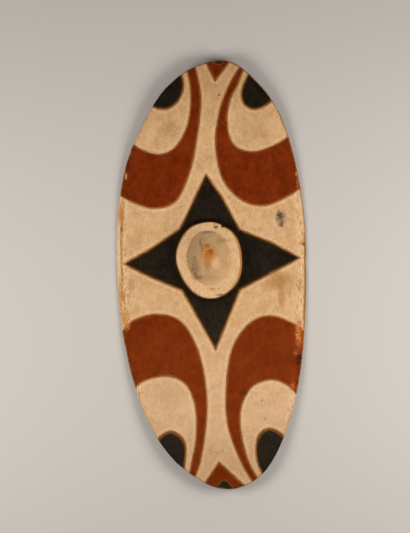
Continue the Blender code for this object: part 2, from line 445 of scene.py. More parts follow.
@dataclass
class Motif:
    """The carved fields of the front: a star, and hooks, eyes and triangles round it."""

    board: Board
    steps: int = 14
    push: float = 1.25
    star: tuple[Place, ...] = (
        (-0.923, 0.064), (-0.64, 0.13), (-0.322, 0.22), (-0.035, 0.47), (0.127, 0.363), (0.303, 0.208),
        (0.621, 0.147), (0.934, 0.069), (0.288, -0.071), (0.016, -0.346), (-0.317, -0.066), (-0.65, -0.001),
    )
    hooks: tuple[tuple[tuple[Place, ...], tuple[Place, ...]], ...] = (
        (
            (
                (-1.024, 0.405), (-0.832, 0.355), (-0.59, 0.32), (-0.358, 0.35), (-0.201, 0.485),
                (-0.105, 0.67), (-0.065, 0.826), (-0.105, 0.951), (-0.146, 1.001),
            ),
            (
                (-0.862, 0.655), (-0.721, 0.6), (-0.529, 0.57), (-0.363, 0.595), (-0.237, 0.675),
                (-0.176, 0.78), (-0.171, 0.886), (-0.211, 0.976),
            ),
        ),
        (
            (
                (1.015, 0.412), (0.843, 0.363), (0.566, 0.318), (0.318, 0.35), (0.137, 0.45),
                (0.076, 0.61), (0.127, 0.763), (0.238, 0.884), (0.389, 0.991),
            ),
            (
                (0.904, 0.656), (0.712, 0.602), (0.47, 0.57), (0.27, 0.603), (0.202, 0.702),
                (0.236, 0.808), (0.326, 0.887), (0.421, 0.988),
            ),
        ),
        (
            (
                (-1.004, -0.285), (-0.897, -0.215), (-0.62, -0.175), (-0.35, -0.209), (-0.179, -0.336),
                (-0.1, -0.511), (-0.103, -0.674), (-0.183, -0.868), (-0.284, -0.974),
            ),
            (
                (-0.909, -0.559), (-0.767, -0.489), (-0.493, -0.465), (-0.297, -0.511), (-0.213, -0.618),
                (-0.216, -0.756), (-0.279, -0.89), (-0.325, -0.959),
            ),
        ),
        (
            (
                (1.001, -0.291), (0.805, -0.229), (0.586, -0.197), (0.374, -0.231), (0.189, -0.345),
                (0.115, -0.527), (0.124, -0.709), (0.268, -0.892), (0.409, -0.997),
            ),
            (
                (0.887, -0.583), (0.754, -0.522), (0.588, -0.495), (0.386, -0.525), (0.264, -0.62),
                (0.256, -0.743), (0.327, -0.875), (0.451, -0.979),
            ),
        ),
    )
    eyes: tuple[tuple[Place, ...], ...] = (
        ((-0.62, 0.821), (-0.539, 0.787), (-0.413, 0.782), (-0.297, 0.821), (-0.242, 0.886), (-0.274, 0.961)),
        ((0.726, 0.826), (0.618, 0.785), (0.49, 0.768), (0.382, 0.797), (0.369, 0.859), (0.472, 0.961)),
        (
            (-0.66, -0.792), (-0.584, -0.742), (-0.478, -0.722), (-0.364, -0.753), (-0.331, -0.812),
            (-0.366, -0.932),
        ),
        ((0.758, -0.784), (0.656, -0.741), (0.541, -0.722), (0.428, -0.764), (0.416, -0.866), (0.494, -0.96)),
    )
    triangles: tuple[tuple[Place, ...], ...] = (
        ((-0.029, 1.017), (0.09, 0.904), (0.286, 1.013)),
        ((-0.18, -0.994), (0.017, -0.871), (0.334, -1.01)),
    )
    tip_caps: tuple[tuple[Place, ...], ...] = (
        ((0.065, 1.012), (0.09, 0.985), (0.132, 0.976), (0.178, 0.985), (0.213, 1.01)),
        ((-0.055, -1.005), (0.01, -0.968), (0.059, -0.953), (0.12, -0.968), (0.186, -1.008)),
    )

    def curve(self, places: tuple[Place, ...]) -> np.ndarray:
        """Smooth line through places given in shares.

        Args:
            places: Places in shares of the half sizes.

        Returns:
            Points in metres.
        """
        knots = [self.board.spot(place) for place in places]
        knots = [2 * knots[0] - knots[1], *knots, 2 * knots[-1] - knots[-2]]
        path = []
        for index in range(1, len(knots) - 2):
            path += [between(*knots[index - 1:index + 3], step / self.steps) for step in range(self.steps)]
        return np.array([*path, knots[-2]])

    def straight(self, places: tuple[Place, ...]) -> np.ndarray:
        """Straight runs between places given in shares, in metres."""
        return np.array([self.board.spot(place) for place in places])

    def closed(self, *parts: np.ndarray) -> np.ndarray:
        """Joins lines into one closed field, pushed out past the rim where two of them meet.

        Args:
            parts: Lines in order round the field.

        Returns:
            The field's corners.
        """
        loop = []
        for part, following in zip(parts, (*parts[1:], parts[0])):
            loop += [part, ((part[-1] + following[0]) / 2 * self.push)[None]]
        return np.concatenate(loop)

    def star_line(self) -> list[np.ndarray]:
        """The star's edge, a closed line."""
        return [self.straight((*self.star, self.star[0]))]

    def ochre_lines(self) -> list[np.ndarray]:
        """Both edges of every hook, and the two edges of each triangle."""
        lines = [self.curve(line) for hook in self.hooks for line in hook]
        return lines + [self.straight(triangle) for triangle in self.triangles]

    def grooves(self) -> list[np.ndarray]:
        """Every line that is cut into the front."""
        return self.star_line() + self.ochre_lines() + [self.curve(eye) for eye in self.eyes]

    def fields(self, paint: Field) -> list[np.ndarray]:
        """Closed fields that take one paint.

        Args:
            paint: The paint.

        Returns:
            The corners of each field.
        """
        if paint is Field.OCHRE:
            hooks = [self.closed(self.curve(outer), self.curve(inner)[::-1]) for outer, inner in self.hooks]
            return hooks + [self.closed(self.straight(triangle)) for triangle in self.triangles]
        return self.star_line() + [self.closed(self.curve(line)) for line in (*self.eyes, *self.tip_caps)]

    def edges(self, paint: Field) -> list[np.ndarray]:
        """Lines along which a paint ends.

        Args:
            paint: The paint.

        Returns:
            The lines' points in metres.
        """
        if paint is Field.OCHRE:
            return self.ochre_lines()
        return self.star_line() + [self.curve(line) for line in (*self.eyes, *self.tip_caps)]

    @staticmethod
    def inside(plan: np.ndarray, loop: np.ndarray) -> np.ndarray:
        """Tells which points lie in a closed field.

        Args:
            plan: Points in plan, one to a row.
            loop: The field's corners.

        Returns:
            True for each point inside.
        """
        found = np.zeros(len(plan), bool)
        x, y = plan[:, 0], plan[:, 1]
        for (ax, ay), (bx, by) in zip(loop, np.roll(loop, -1, axis=0)):
            if ay == by:
                continue
            found ^= ((ay > y) != (by > y)) & (x < (bx - ax) * (y - ay) / (by - ay) + ax)
        return found

    def depth_in(self, plan: np.ndarray, paint: Field) -> np.ndarray:
        """Distance to the edge of a paint, positive inside its fields.

        Args:
            plan: Points in plan, one to a row.
            paint: The paint.

        Returns:
            Signed distance in metres.
        """
        distance, _ = Lines(self.edges(paint)).nearest(plan)
        within = np.zeros(len(plan), bool)
        for loop in self.fields(paint):
            within |= self.inside(plan, loop)
        return np.where(within, distance, -distance)


@dataclass
class Carving:
    """How the shield was cut and has worn: grooves, tool marks and the rim.

    The rings of the rim are pairs. The first number says how far across the bevel a ring lies, from
    0 at its arris to 1 at the edge. The second says how low: 1 at the top of the wall, 2 at the back.
    """

    groove_depth: float = 0.0019
    groove_half: float = 0.0022
    groove_sway: float = 0.22
    groove_sway_size: float = 0.03
    undulation: float = 0.00030
    undulation_size: float = 0.045
    ripple_depth: float = 0.00010
    ripple_size: float = 0.012
    ripple_lift: float = 0.8
    boss_calm: float = 0.3
    boss_reach: Place = (0.2, 1.4)
    front_snap: float = 0.0007
    boss_snap: float = 0.0008
    back_snap: float = 0.0012
    boss_ridge: float = 1.05
    hollow_rings: Place = (0.97, 1.0)
    rim_rings: tuple[Place, ...] = ((0.34, 0.30), (0.67, 0.64), (0.97, 0.96), (1.0, 1.22), (0.985, 1.75))
    rim_wander: float = 0.0006
    rim_wander_size: float = 0.02
    rim_wander_limits: Place = (0.6, 1.6)
    rim_hold: float = 0.3
    scoop_length: float = 0.046
    scoop_width: float = 0.024
    scoop_depth: float = 0.0009
    scoop_spread: float = 1.4
    scoop_stir: float = 0.55
    hollow_scoops: float = 0.6
    back_border: Place = (0.86, 0.95)


@dataclass
class Grip:
    """The carved bar that bridges the hollow behind the boss."""

    boss: Boss
    width: float = 0.028
    thickness: float = 0.020
    proud: float = 0.018
    foot: float = 0.030
    rounding: float = 0.0065
    rounding_steps: int = 5
    waist: float = 0.0012
    cuts_along: int = 44
    long_run: float = 0.1
    knife_depth: float = 0.0004
    knife_waves: tuple[float, float, float] = (60.0, 34.0, 60.0)
    level: float = 1e-6

    def build(self) -> bmesh.types.BMesh:
        """Makes the bar: a box with sloping feet and rounded arrises, slightly waisted by the knife.

        Returns:
            The bar's mesh, in place.
        """
        bar = bmesh.new()
        bmesh.ops.create_cube(bar, size=1.0)
        length = self.boss.hollow_length + 2 * self.foot
        bmesh.ops.scale(bar, vec=(self.width, length, self.thickness), verts=bar.verts)
        for vertex in bar.verts:
            if vertex.co.z < 0:
                vertex.co.y -= math.copysign(self.foot, vertex.co.y)
        long_edges = [edge for edge in bar.edges if abs(edge.verts[0].co.x - edge.verts[1].co.x) < self.level]
        bmesh.ops.bevel(
            bar, geom=long_edges, offset=self.rounding, offset_type="OFFSET", segments=self.rounding_steps,
            profile=0.5, affect="EDGES", material=-1, clamp_overlap=True,
        )
        along = [edge for edge in bar.edges if abs(edge.verts[0].co.y - edge.verts[1].co.y) > self.long_run]
        bmesh.ops.subdivide_edges(bar, edges=along, cuts=self.cuts_along, use_grid_fill=True)
        for vertex in bar.verts:
            share = min(abs(vertex.co.y) / (self.boss.hollow_length / 2), 1.0)
            hewn = self.knife_depth * noise.noise(vertex.co * Vector(self.knife_waves))
            vertex.co.x *= 1 - self.waist / (self.width / 2) * (1 - share ** 2) + hewn / (self.width / 2)
        middle_back = float(self.boss.board.back_height(np.zeros(1))[0])
        height = middle_back - self.proud + self.thickness / 2
        bmesh.ops.translate(bar, vec=(*self.boss.middle, height), verts=bar.verts)
        for face in bar.faces:
            face.material_index = Side.HELD.value
            face.smooth = True
        bmesh.ops.recalc_face_normals(bar, faces=bar.faces)
        return bar


@dataclass
class CarvedShield:
    """The whole shield as one fine mesh, with what its paints need to know kept on its points."""

    board: Board
    boss: Boss
    motif: Motif
    grip: Grip
    carving: Carving = field(default_factory=Carving)
    front_cells: tuple[int, int] = (94, 212)
    back_cells: tuple[int, int] = (66, 146)
    near: tuple[float, float] = (0.0062, 0.0031)
    sharp_angle: float = math.radians(38)
    outline_points: int = 1441
    mark_limit: float = 60.0

    def sheet_plan(self, flat: np.ndarray, edge_shift: EdgeShift) -> tuple[np.ndarray, np.ndarray]:
        """Lays a square sheet over the board: its border runs along the edge.

        Args:
            flat: Places on the sheet, from -1 to 1 both ways.
            edge_shift: Gives the width by which the sheet keeps inside the edge, from the edge's points.

        Returns:
            The places in plan, and their turns round the board.
        """
        u, v = flat[:, 0], flat[:, 1]
        disc = np.stack((u * np.sqrt(1 - v ** 2 / 2), v * np.sqrt(1 - u ** 2 / 2)), 1)
        turn = np.mod(np.arctan2(disc[:, 1], disc[:, 0]) / math.tau, 1.0)
        edge = self.board.outline(turn)
        plan = self.board.pulled_in(edge, edge_shift(edge)) * np.linalg.norm(disc, axis=1)[:, None]
        return plan, turn

    def refine(self, sheet: bmesh.types.BMesh, edge_shift: EdgeShift, lines: Lines) -> None:
        """Cuts the sheet finer near lines, in two rounds.

        Args:
            sheet: The flat square sheet.
            edge_shift: As for sheet_plan.
            lines: Lines that need fine cells.
        """
        for reach in self.near:
            flat = np.array([vertex.co.xy for vertex in sheet.verts])
            distance, _ = lines.nearest(self.sheet_plan(flat, edge_shift)[0])
            close = {vertex for vertex, gap in zip(sheet.verts, distance) if gap < reach}
            edges = {edge for vertex in close for face in vertex.link_faces for edge in face.edges}
            ordered = sorted(edges, key=lambda edge: edge.index)
            bmesh.ops.subdivide_edges(
                sheet, edges=ordered, cuts=1, use_grid_fill=True, use_single_edge=True,
            )
            sheet.verts.index_update()
            sheet.edges.index_update()

    def lay(
        self, sheet: bmesh.types.BMesh, cells: tuple[int, int], edge_shift: EdgeShift, lines: Lines,
    ) -> tuple[np.ndarray, np.ndarray, np.ndarray]:
        """Adds a square sheet to an empty mesh, cut finer near lines.

        Args:
            sheet: The mesh.
            cells: How many cells it has across and along.
            edge_shift: As for sheet_plan.
            lines: Lines that need fine cells.

        Returns:
            The place of each point in plan, its turn round the board, and True where it is on the border.
        """
        bmesh.ops.create_grid(sheet, x_segments=cells[0], y_segments=cells[1], size=1.0)
        self.refine(sheet, edge_shift, lines)
        flat = np.array([vertex.co.xy for vertex in sheet.verts])
        plan, turn = self.sheet_plan(flat, edge_shift)
        return plan, turn, np.array([vertex.is_boundary for vertex in sheet.verts])

    @staticmethod
    def snap(
        plan: np.ndarray, lines: Lines, offsets: tuple[float, ...], reach: float, fixed: np.ndarray,
    ) -> np.ndarray:
        """Moves points that lie next to a line, or next to its shoulders, right onto it.

        Args:
            plan: Points in plan, one to a row.
            lines: The lines.
            offsets: Distances from a line on which points are wanted.
            reach: How far a point may be moved.
            fixed: True for points that stay.

        Returns:
            The points, moved.
        """
        distance, foot = lines.nearest(plan)
        away = plan - foot
        length = np.maximum(distance, TINY)[:, None]
        moved = plan.copy()
        for offset in offsets:
            chosen = (np.abs(distance - offset) < reach) & ~fixed
            moved[chosen] = (foot + away / length * offset)[chosen]
        return moved

    def front_surface(self, plan: np.ndarray, groove_gap: np.ndarray) -> np.ndarray:
        """Heights of the painted side, with boss, grooves and tool marks.

        Args:
            plan: Points in plan, one to a row.
            groove_gap: Distance of each to the nearest groove.

        Returns:
            Heights over the ground.
        """
        carving = self.carving
        ground = self.board.front_height(plan[:, 0], plan[:, 1])
        height = self.boss.raise_front(plan, ground)
        flat = np.column_stack((plan, np.zeros(len(plan))))
        calm = carving.boss_calm
        off_boss = ramp(self.boss.share(plan), *carving.boss_reach) * (1 - calm) + calm
        waves = ripple(flat, carving.undulation_size, UNDULATION_SEED) - carving.ripple_lift
        height += carving.undulation * waves * off_boss
        waves = ripple(flat, carving.ripple_size, RIPPLE_SEED) - carving.ripple_lift
        height += carving.ripple_depth * waves
        sway = ripple(flat, carving.groove_sway_size, GROOVE_SEED)
        depth = carving.groove_depth * (1 + carving.groove_sway * sway)
        return height - depth * np.clip(1 - groove_gap / carving.groove_half, 0.0, 1.0)

    def back_surface(self, plan: np.ndarray) -> np.ndarray:
        """Heights of the hollow side, with its adze scoops, the hollow and the flat lands.

        Args:
            plan: Points in plan, one to a row.

        Returns:
            Heights over the ground.
        """
        ground = self.board.back_height(plan[:, 0])
        height = self.boss.hollow_height(plan, ground)
        half = np.array((self.boss.hollow_width / 2, self.boss.hollow_length / 2))
        share = np.linalg.norm((plan - self.boss.middle) / half, axis=1)
        off_rim = 1 - ramp(np.abs(plan[:, 0]) / (self.board.width / 2), *self.carving.back_border)
        height += self.scoops(plan) * np.where(share < 1, self.carving.hollow_scoops, off_rim)
        return np.maximum(height, 0.0)

    def scoops(self, plan: np.ndarray) -> np.ndarray:
        """Depth of the shallow scoops that an adze leaves, in staggered rows along the board.

        Args:
            plan: Points in plan, one to a row.

        Returns:
            Depth at each of them.
        """
        carving = self.carving
        cell = np.array((carving.scoop_width, carving.scoop_length))
        grid = plan / cell
        home = np.floor(grid)
        nearest = np.full(len(plan), FAR)
        for column in (-1, 0, 1):
            for row in (-1, 0, 1):
                corner = home + (column, row)
                stir = np.sin(corner[:, 0] * STIR[0] + corner[:, 1] * STIR[1]) * STIR_SIZE
                shake = stir - np.floor(stir)
                shift = np.stack((shake - 0.5, np.mod(shake * STIR_TURN, 1.0) - 0.5), 1)
                centre = corner + 0.5 + shift * carving.scoop_stir
                nearest = np.minimum(nearest, ((grid - centre) ** 2).sum(1))
        return carving.scoop_depth * np.clip(1 - nearest * carving.scoop_spread, 0.0, 1.0)

    @staticmethod
    def place(vertices: list[bmesh.types.BMVert], points: np.ndarray) -> None:
        """Puts vertices at points, one to each."""
        for vertex, point in zip(vertices, points.tolist()):
            vertex.co = point

    def carve_front(self, shape: bmesh.types.BMesh) -> list[bmesh.types.BMEdge]:
        """Adds the painted side and its sloping rim.

        Args:
            shape: The shield's mesh.

        Returns:
            The edges of the rim's lowest ring.
        """
        carving = self.carving
        cap, shoulder, ridge, root = (
            self.boss.oval(share)
            for share in (self.boss.cap_share, 1.0, carving.boss_ridge, self.boss.root_share)
        )
        cuts = self.motif.grooves()
        grooves = Lines(cuts)
        near = Lines([*cuts, cap, shoulder, ridge, root])
        plan, turn, border = self.lay(shape, self.front_cells, self.board.bevel, near)
        plan = self.snap(plan, grooves, (carving.groove_half, 0.0), carving.front_snap, border)
        plan = self.snap(plan, Lines([shoulder, root]), (0.0,), carving.boss_snap, border)
        gap, _ = grooves.nearest(plan)
        points = np.column_stack((plan, self.front_surface(plan, gap)))
        self.place(list(shape.verts), points)
        turns = dict(zip(shape.verts, turn))
        ring = [edge for edge in shape.edges if edge.is_boundary]
        for share, drop in carving.rim_rings:
            ring, turns = self.extend_rim(shape, ring, turns, share, drop)
        return ring

    def extend_rim(
        self, shape: bmesh.types.BMesh, ring: list[bmesh.types.BMEdge],
        turns: dict[bmesh.types.BMVert, float], share: float, drop: float,
    ) -> tuple[list[bmesh.types.BMEdge], dict[bmesh.types.BMVert, float]]:
        """Adds one more ring to the rim, further out and lower.

        Args:
            shape: The shield's mesh.
            ring: The edges of the last ring.
            turns: The turn of each of its vertices round the board.
            share: How far across the bevel the new ring lies, from 0 at its arris to 1 at the edge.
            drop: How far down it lies: 1 at the top of the edge's wall, 2 at the back.

        Returns:
            The new ring's edges and the turns of its vertices.
        """
        old = sorted({vertex for edge in ring for vertex in edge.verts}, key=lambda vertex: vertex.index)
        kept = {vertex.co.copy().freeze(): turns[vertex] for vertex in old}
        made = bmesh.ops.extrude_edge_only(shape, edges=ring)["geom"]
        vertices = [item for item in made if isinstance(item, bmesh.types.BMVert)]
        edges = [item for item in made if isinstance(item, bmesh.types.BMEdge) and item.is_boundary]
        turn = np.array([kept[vertex.co.copy().freeze()] for vertex in vertices])
        edge = self.board.outline(turn)
        flat = np.column_stack((edge, np.zeros(len(edge))))
        carving = self.carving
        shift, most = carving.rim_wander_limits
        sway = np.clip(shift + ripple(flat, carving.rim_wander_size, RIM_SEED), 0.0, most)
        hold = carving.rim_hold + (1 - carving.rim_hold) * share
        width = self.board.bevel(edge) * (1 - share) + carving.rim_wander * sway * hold
        plan = self.board.pulled_in(edge, width)
        arris = self.board.pulled_in(edge, self.board.bevel(edge))
        top = self.board.front_height(arris[:, 0], arris[:, 1])
        back = self.board.back_height(edge[:, 0])
        wall_top = back + self.board.edge_wall
        if drop <= 1:
            height = top + (wall_top - top) * drop
        else:
            height = wall_top + (back - wall_top) * (drop - 1)
        self.place(vertices, np.column_stack((plan, np.maximum(height, 0.0))))
        shape.verts.index_update()
        return edges, dict(zip(vertices, turn))

    def carve_back(self, shape: bmesh.types.BMesh) -> list[bmesh.types.BMEdge]:
        """Adds the hollow side.

        Args:
            shape: The shield's mesh.

        Returns:
            The edges of its border.
        """
        sheet = bmesh.new()
        half = np.array((self.boss.hollow_width, self.boss.hollow_length)) / 2
        rims = Lines([oval_path(self.boss.middle, half * share) for share in self.carving.hollow_rings])
        plan, _, border = self.lay(sheet, self.back_cells, self.back_inset, rims)
        plan = self.snap(plan, rims, (0.0,), self.carving.back_snap, border)
        points = np.column_stack((plan, self.back_surface(plan)))
        self.place(list(sheet.verts), points)
        bmesh.ops.reverse_faces(sheet, faces=sheet.faces)
        for face in sheet.faces:
            face.material_index = Side.HEWN.value
        mesh = bpy.data.meshes.new("back")
        sheet.to_mesh(mesh)
        sheet.free()
        known = set(shape.edges)
        shape.from_mesh(mesh)
        bpy.data.meshes.remove(mesh)
        return [edge for edge in shape.edges if edge.is_boundary and edge not in known]

    def back_inset(self, edge: np.ndarray) -> np.ndarray:
        """Width by which the back keeps inside the edge, all the way round."""
        return np.full(len(edge), self.board.back_bevel)

    def build(self) -> bpy.types.Object:
        """Makes the shield's mesh: front, rim, back and grip, joined into one closed shape.

        Returns:
            The shield, in place, without its finishes.
        """
        shape = bmesh.new()
        rim = self.carve_front(shape)
        back = self.carve_back(shape)
        bridge = bmesh.ops.bridge_loops(shape, edges=rim + back)
        for face in bridge["faces"]:
            face.material_index = Side.PAINTED.value
        bmesh.ops.triangulate(shape, faces=[face for face in shape.faces if len(face.verts) > 4])
        bmesh.ops.recalc_face_normals(shape, faces=shape.faces)
        for face in shape.faces:
            face.smooth = True
        board = self.as_object(shape, "carved_board")
        bar = self.as_object(self.grip.build(), "grip_bar")
        shield = self.joined(board, bar)
        LOG.info("shield: %d faces, %d points", len(shield.data.polygons), len(shield.data.vertices))
        return shield

    @staticmethod
    def as_object(shape: bmesh.types.BMesh, name: str) -> bpy.types.Object:
        """Turns a bmesh into an object of the scene.

        Args:
            shape: The bmesh, which is used up.
            name: The object's name.

        Returns:
            The object, with an empty slot for each side's material.
        """
        mesh = bpy.data.meshes.new(name)
        shape.to_mesh(mesh)
        shape.free()
        for _ in Side:
            mesh.materials.append(None)
        item = bpy.data.objects.new(name, mesh)
        bpy.context.scene.collection.objects.link(item)
        return item

    @staticmethod
    def joined(board: bpy.types.Object, bar: bpy.types.Object) -> bpy.types.Object:
        """Joins the grip to the board as one closed mesh.

        Args:
            board: The board, which is used up.
            bar: The grip's bar, which is used up.

        Returns:
            The shield.
        """
        step = board.modifiers.new("grip", "BOOLEAN")
        step.operation = "UNION"
        step.solver = "MANIFOLD"
        step.object = bar
        bpy.context.view_layer.update()
        view = bpy.context.evaluated_depsgraph_get()
        mesh = bpy.data.meshes.new_from_object(board.evaluated_get(view))
        mesh.name = "carved_shield"
        CarvedShield.mend_seam(mesh)
        for used in (board, bar):
            data = used.data
            bpy.data.objects.remove(used, do_unlink=True)
            bpy.data.meshes.remove(data)
        shield = bpy.data.objects.new("carved_shield", mesh)
        bpy.context.scene.collection.objects.link(shield)
        return shield

    @staticmethod
    def mend_seam(mesh: bpy.types.Mesh) -> None:
        """Takes out points that have only two edges, which the join leaves along its seam.

        Args:
            mesh: The joined mesh.
        """
        shape = bmesh.new()
        shape.from_mesh(mesh)
        loose = [vertex for vertex in shape.verts if len(vertex.link_edges) == 2]
        LOG.info("points taken out of the seam: %d", len(loose))
        bmesh.ops.dissolve_verts(shape, verts=loose)
        shape.to_mesh(mesh)
        shape.free()

    def mark(self, shield: bpy.types.Object) -> None:
        """Keeps on each point what the paints need: distances in millimetres to the carved lines.

        Args:
            shield: The shield.
        """
        mesh = shield.data
        points = np.empty(len(mesh.vertices) * 3)
        mesh.vertices.foreach_get("co", points)
        plan = points.reshape(-1, 3)[:, :2]
        rim = self.board.outline(np.linspace(0.0, 1.0, self.outline_points))
        arris = self.board.pulled_in(rim, self.board.bevel(rim))
        in_board = np.where(self.motif.inside(plan, arris), 1.0, -1.0)
        share = self.boss.share(plan)
        half = (self.boss.width + self.boss.length) / 4
        values = {
            "ochre": self.motif.depth_in(plan, Field.OCHRE),
            "soot": self.motif.depth_in(plan, Field.SOOT),
            "groove": Lines(self.motif.grooves()).nearest(plan)[0],
            "rim": Lines([rim]).nearest(plan)[0],
            "arris": Lines([arris]).nearest(plan)[0] * in_board,
            "boss": (share - 1) * half,
            "cap": (share - self.boss.cap_share) * half,
        }
        for name, value in values.items():
            layer = mesh.attributes.new(name, "FLOAT", "POINT")
            clipped = np.clip(value / MILLIMETRE, -self.mark_limit, self.mark_limit)
            layer.data.foreach_set("value", clipped.astype(np.float32))
        mesh.set_sharp_from_angle(angle=self.sharp_angle)


@dataclass
class Sheet:
    """Short ways to put nodes on a material's or a group's sheet and to join them."""

    tree: bpy.types.NodeTree

    def add(self, kind: str, **settings: object) -> bpy.types.Node:
        """Adds a node.

        Args:
            kind: The node's type.
            settings: Its settings by name.

        Returns:
            The node.
        """
        node = self.tree.nodes.new(kind)
        for name, value in settings.items():
            setattr(node, name, value)
        return node

    def feed(self, socket: Socket, value: Feed) -> None:
        """Joins a socket to another, or gives it a plain value.

        Args:
            socket: The input.
            value: The output that feeds it, or its value.
        """
        if isinstance(value, Socket):
            self.tree.links.new(value, socket)
        else:
            socket.default_value = value

    def feed_all(self, node: bpy.types.Node, **values: Feed) -> bpy.types.NodeOutputs:
        """Feeds several inputs of a node.

        Args:
            node: The node.
            values: What feeds each input, by the input's name, with _ for a space.

        Returns:
            The node's outputs.
        """
        for name, value in values.items():
            self.feed(node.inputs[name.replace("_", " ")], value)
        return node.outputs

    def value(self, operation: str, *inputs: Feed) -> Socket:
        """Works out one number from others.

        Args:
            operation: Name of the sum, as the Math node has it.
            inputs: Sockets or numbers.

        Returns:
            The result's socket.
        """
        node = self.add("ShaderNodeMath", operation=operation)
        for socket, item in zip(node.inputs, inputs):
            self.feed(socket, item)
        return node.outputs[0]

    def vector(self, operation: str, *inputs: Feed) -> bpy.types.NodeOutputs:
        """Works out one vector or its length from others.

        Args:
            operation: Name of the sum, as the Vector Math node has it.
            inputs: Sockets or vectors.

        Returns:
            The results' sockets, Vector and Value.
        """
        node = self.add("ShaderNodeVectorMath", operation=operation)
        for socket, item in zip(node.inputs, inputs):
            self.feed(socket, item)
        return node.outputs

    def times(self, first: Feed, *others: Feed) -> Feed:
        """Product of sockets and numbers.

        Args:
            first: The first of them.
            others: The others.

        Returns:
            The product.
        """
        for other in others:
            first = self.value("MULTIPLY", first, other)
        return first

    def less(self, first: Feed, second: Feed) -> Socket:
        """The first number less the second."""
        return self.value("SUBTRACT", first, second)

    def step(self, value: Feed, low: Feed, high: Feed) -> Socket:
        """Soft step of a value from 0 at low to 1 at high."""
        node = self.add("ShaderNodeMapRange", interpolation_type="SMOOTHSTEP")
        return self.feed_all(node, Value=value, From_Min=low, From_Max=high)["Result"]

    def band(self, value: Feed, rise: Place, fall: Place) -> Socket:
        """Soft band of a value: its step up times its step down."""
        return self.times(self.step(value, *rise), self.step(value, *fall))

    def scaled(self, value: Feed, low: float, high: float) -> Socket:
        """Spreads a value from 0 to 1 over low to high."""
        return self.feed_all(self.add("ShaderNodeMapRange"), Value=value, To_Min=low, To_Max=high)["Result"]

    def mix(self, share: Feed, first: Feed, second: Feed, blend: str = "MIX") -> Socket:
        """Mixes two colours.

        Args:
            share: How much of the second is taken.
            first: The first colour.
            second: The second colour.
            blend: Name of the way they are mixed.

        Returns:
            The mixed colour.
        """
        node = self.add("ShaderNodeMix", data_type="RGBA", blend_type=blend)
        colours = [socket for socket in node.inputs if socket.type == "RGBA"]
        self.feed(node.inputs["Factor"], share)
        self.feed(colours[0], first)
        self.feed(colours[1], second)
        return next(socket for socket in node.outputs if socket.type == "RGBA")

    def wash(self, colour: Feed, paint: Feed, *shares: Feed) -> Socket:
        """Lays a paint over a colour, as much as the product of the shares says."""
        return self.mix(self.times(*shares), colour, paint)

    def place(self, scale: tuple[float, float, float] = (1.0, 1.0, 1.0)) -> Socket:
        """The point's place on the object, stretched for a pattern."""
        source = self.add("ShaderNodeTexCoord").outputs["Object"]
        return self.feed_all(self.add("ShaderNodeMapping"), Vector=source, Scale=scale)["Vector"]

    def clouds(self, place: Feed, scale: float, detail: float = 3.0, roughness: float = 0.55) -> Socket:
        """Cloudy pattern from 0 to 1.

        Args:
            place: Where on the pattern each point lies.
            scale: The pattern's fineness.
            detail: How many finer patterns are laid over it.
            roughness: How strong those are.

        Returns:
            The pattern.
        """
        node = self.add("ShaderNodeTexNoise")
        return self.feed_all(node, Vector=place, Scale=scale, Detail=detail, Roughness=roughness)["Fac"]

    def mark(self, name: str) -> Socket:
        """One of the numbers kept on the shield's points."""
        return self.add("ShaderNodeAttribute", attribute_name=name).outputs["Fac"]

    def relief(self, shader: bpy.types.Node, height: Socket, strength: float, distance: float) -> None:
        """Gives a shader a fine relief.

        Args:
            shader: The shader.
            height: The relief's height.
            strength: How strong it shows.
            distance: Its full height in metres.
        """
        bump = self.feed_all(self.add("ShaderNodeBump"), Height=height, Strength=strength, Distance=distance)
        self.feed(shader.inputs["Normal"], bump["Normal"])


def new_material(name: str) -> tuple[bpy.types.Material, bpy.types.Node]:
    """Makes a material of nodes.

    Args:
        name: Its name.

    Returns:
        The material and its shader node.
    """
    material = bpy.data.materials.new(name)
    material.use_nodes = True
    return material, material.node_tree.nodes["Principled BSDF"]


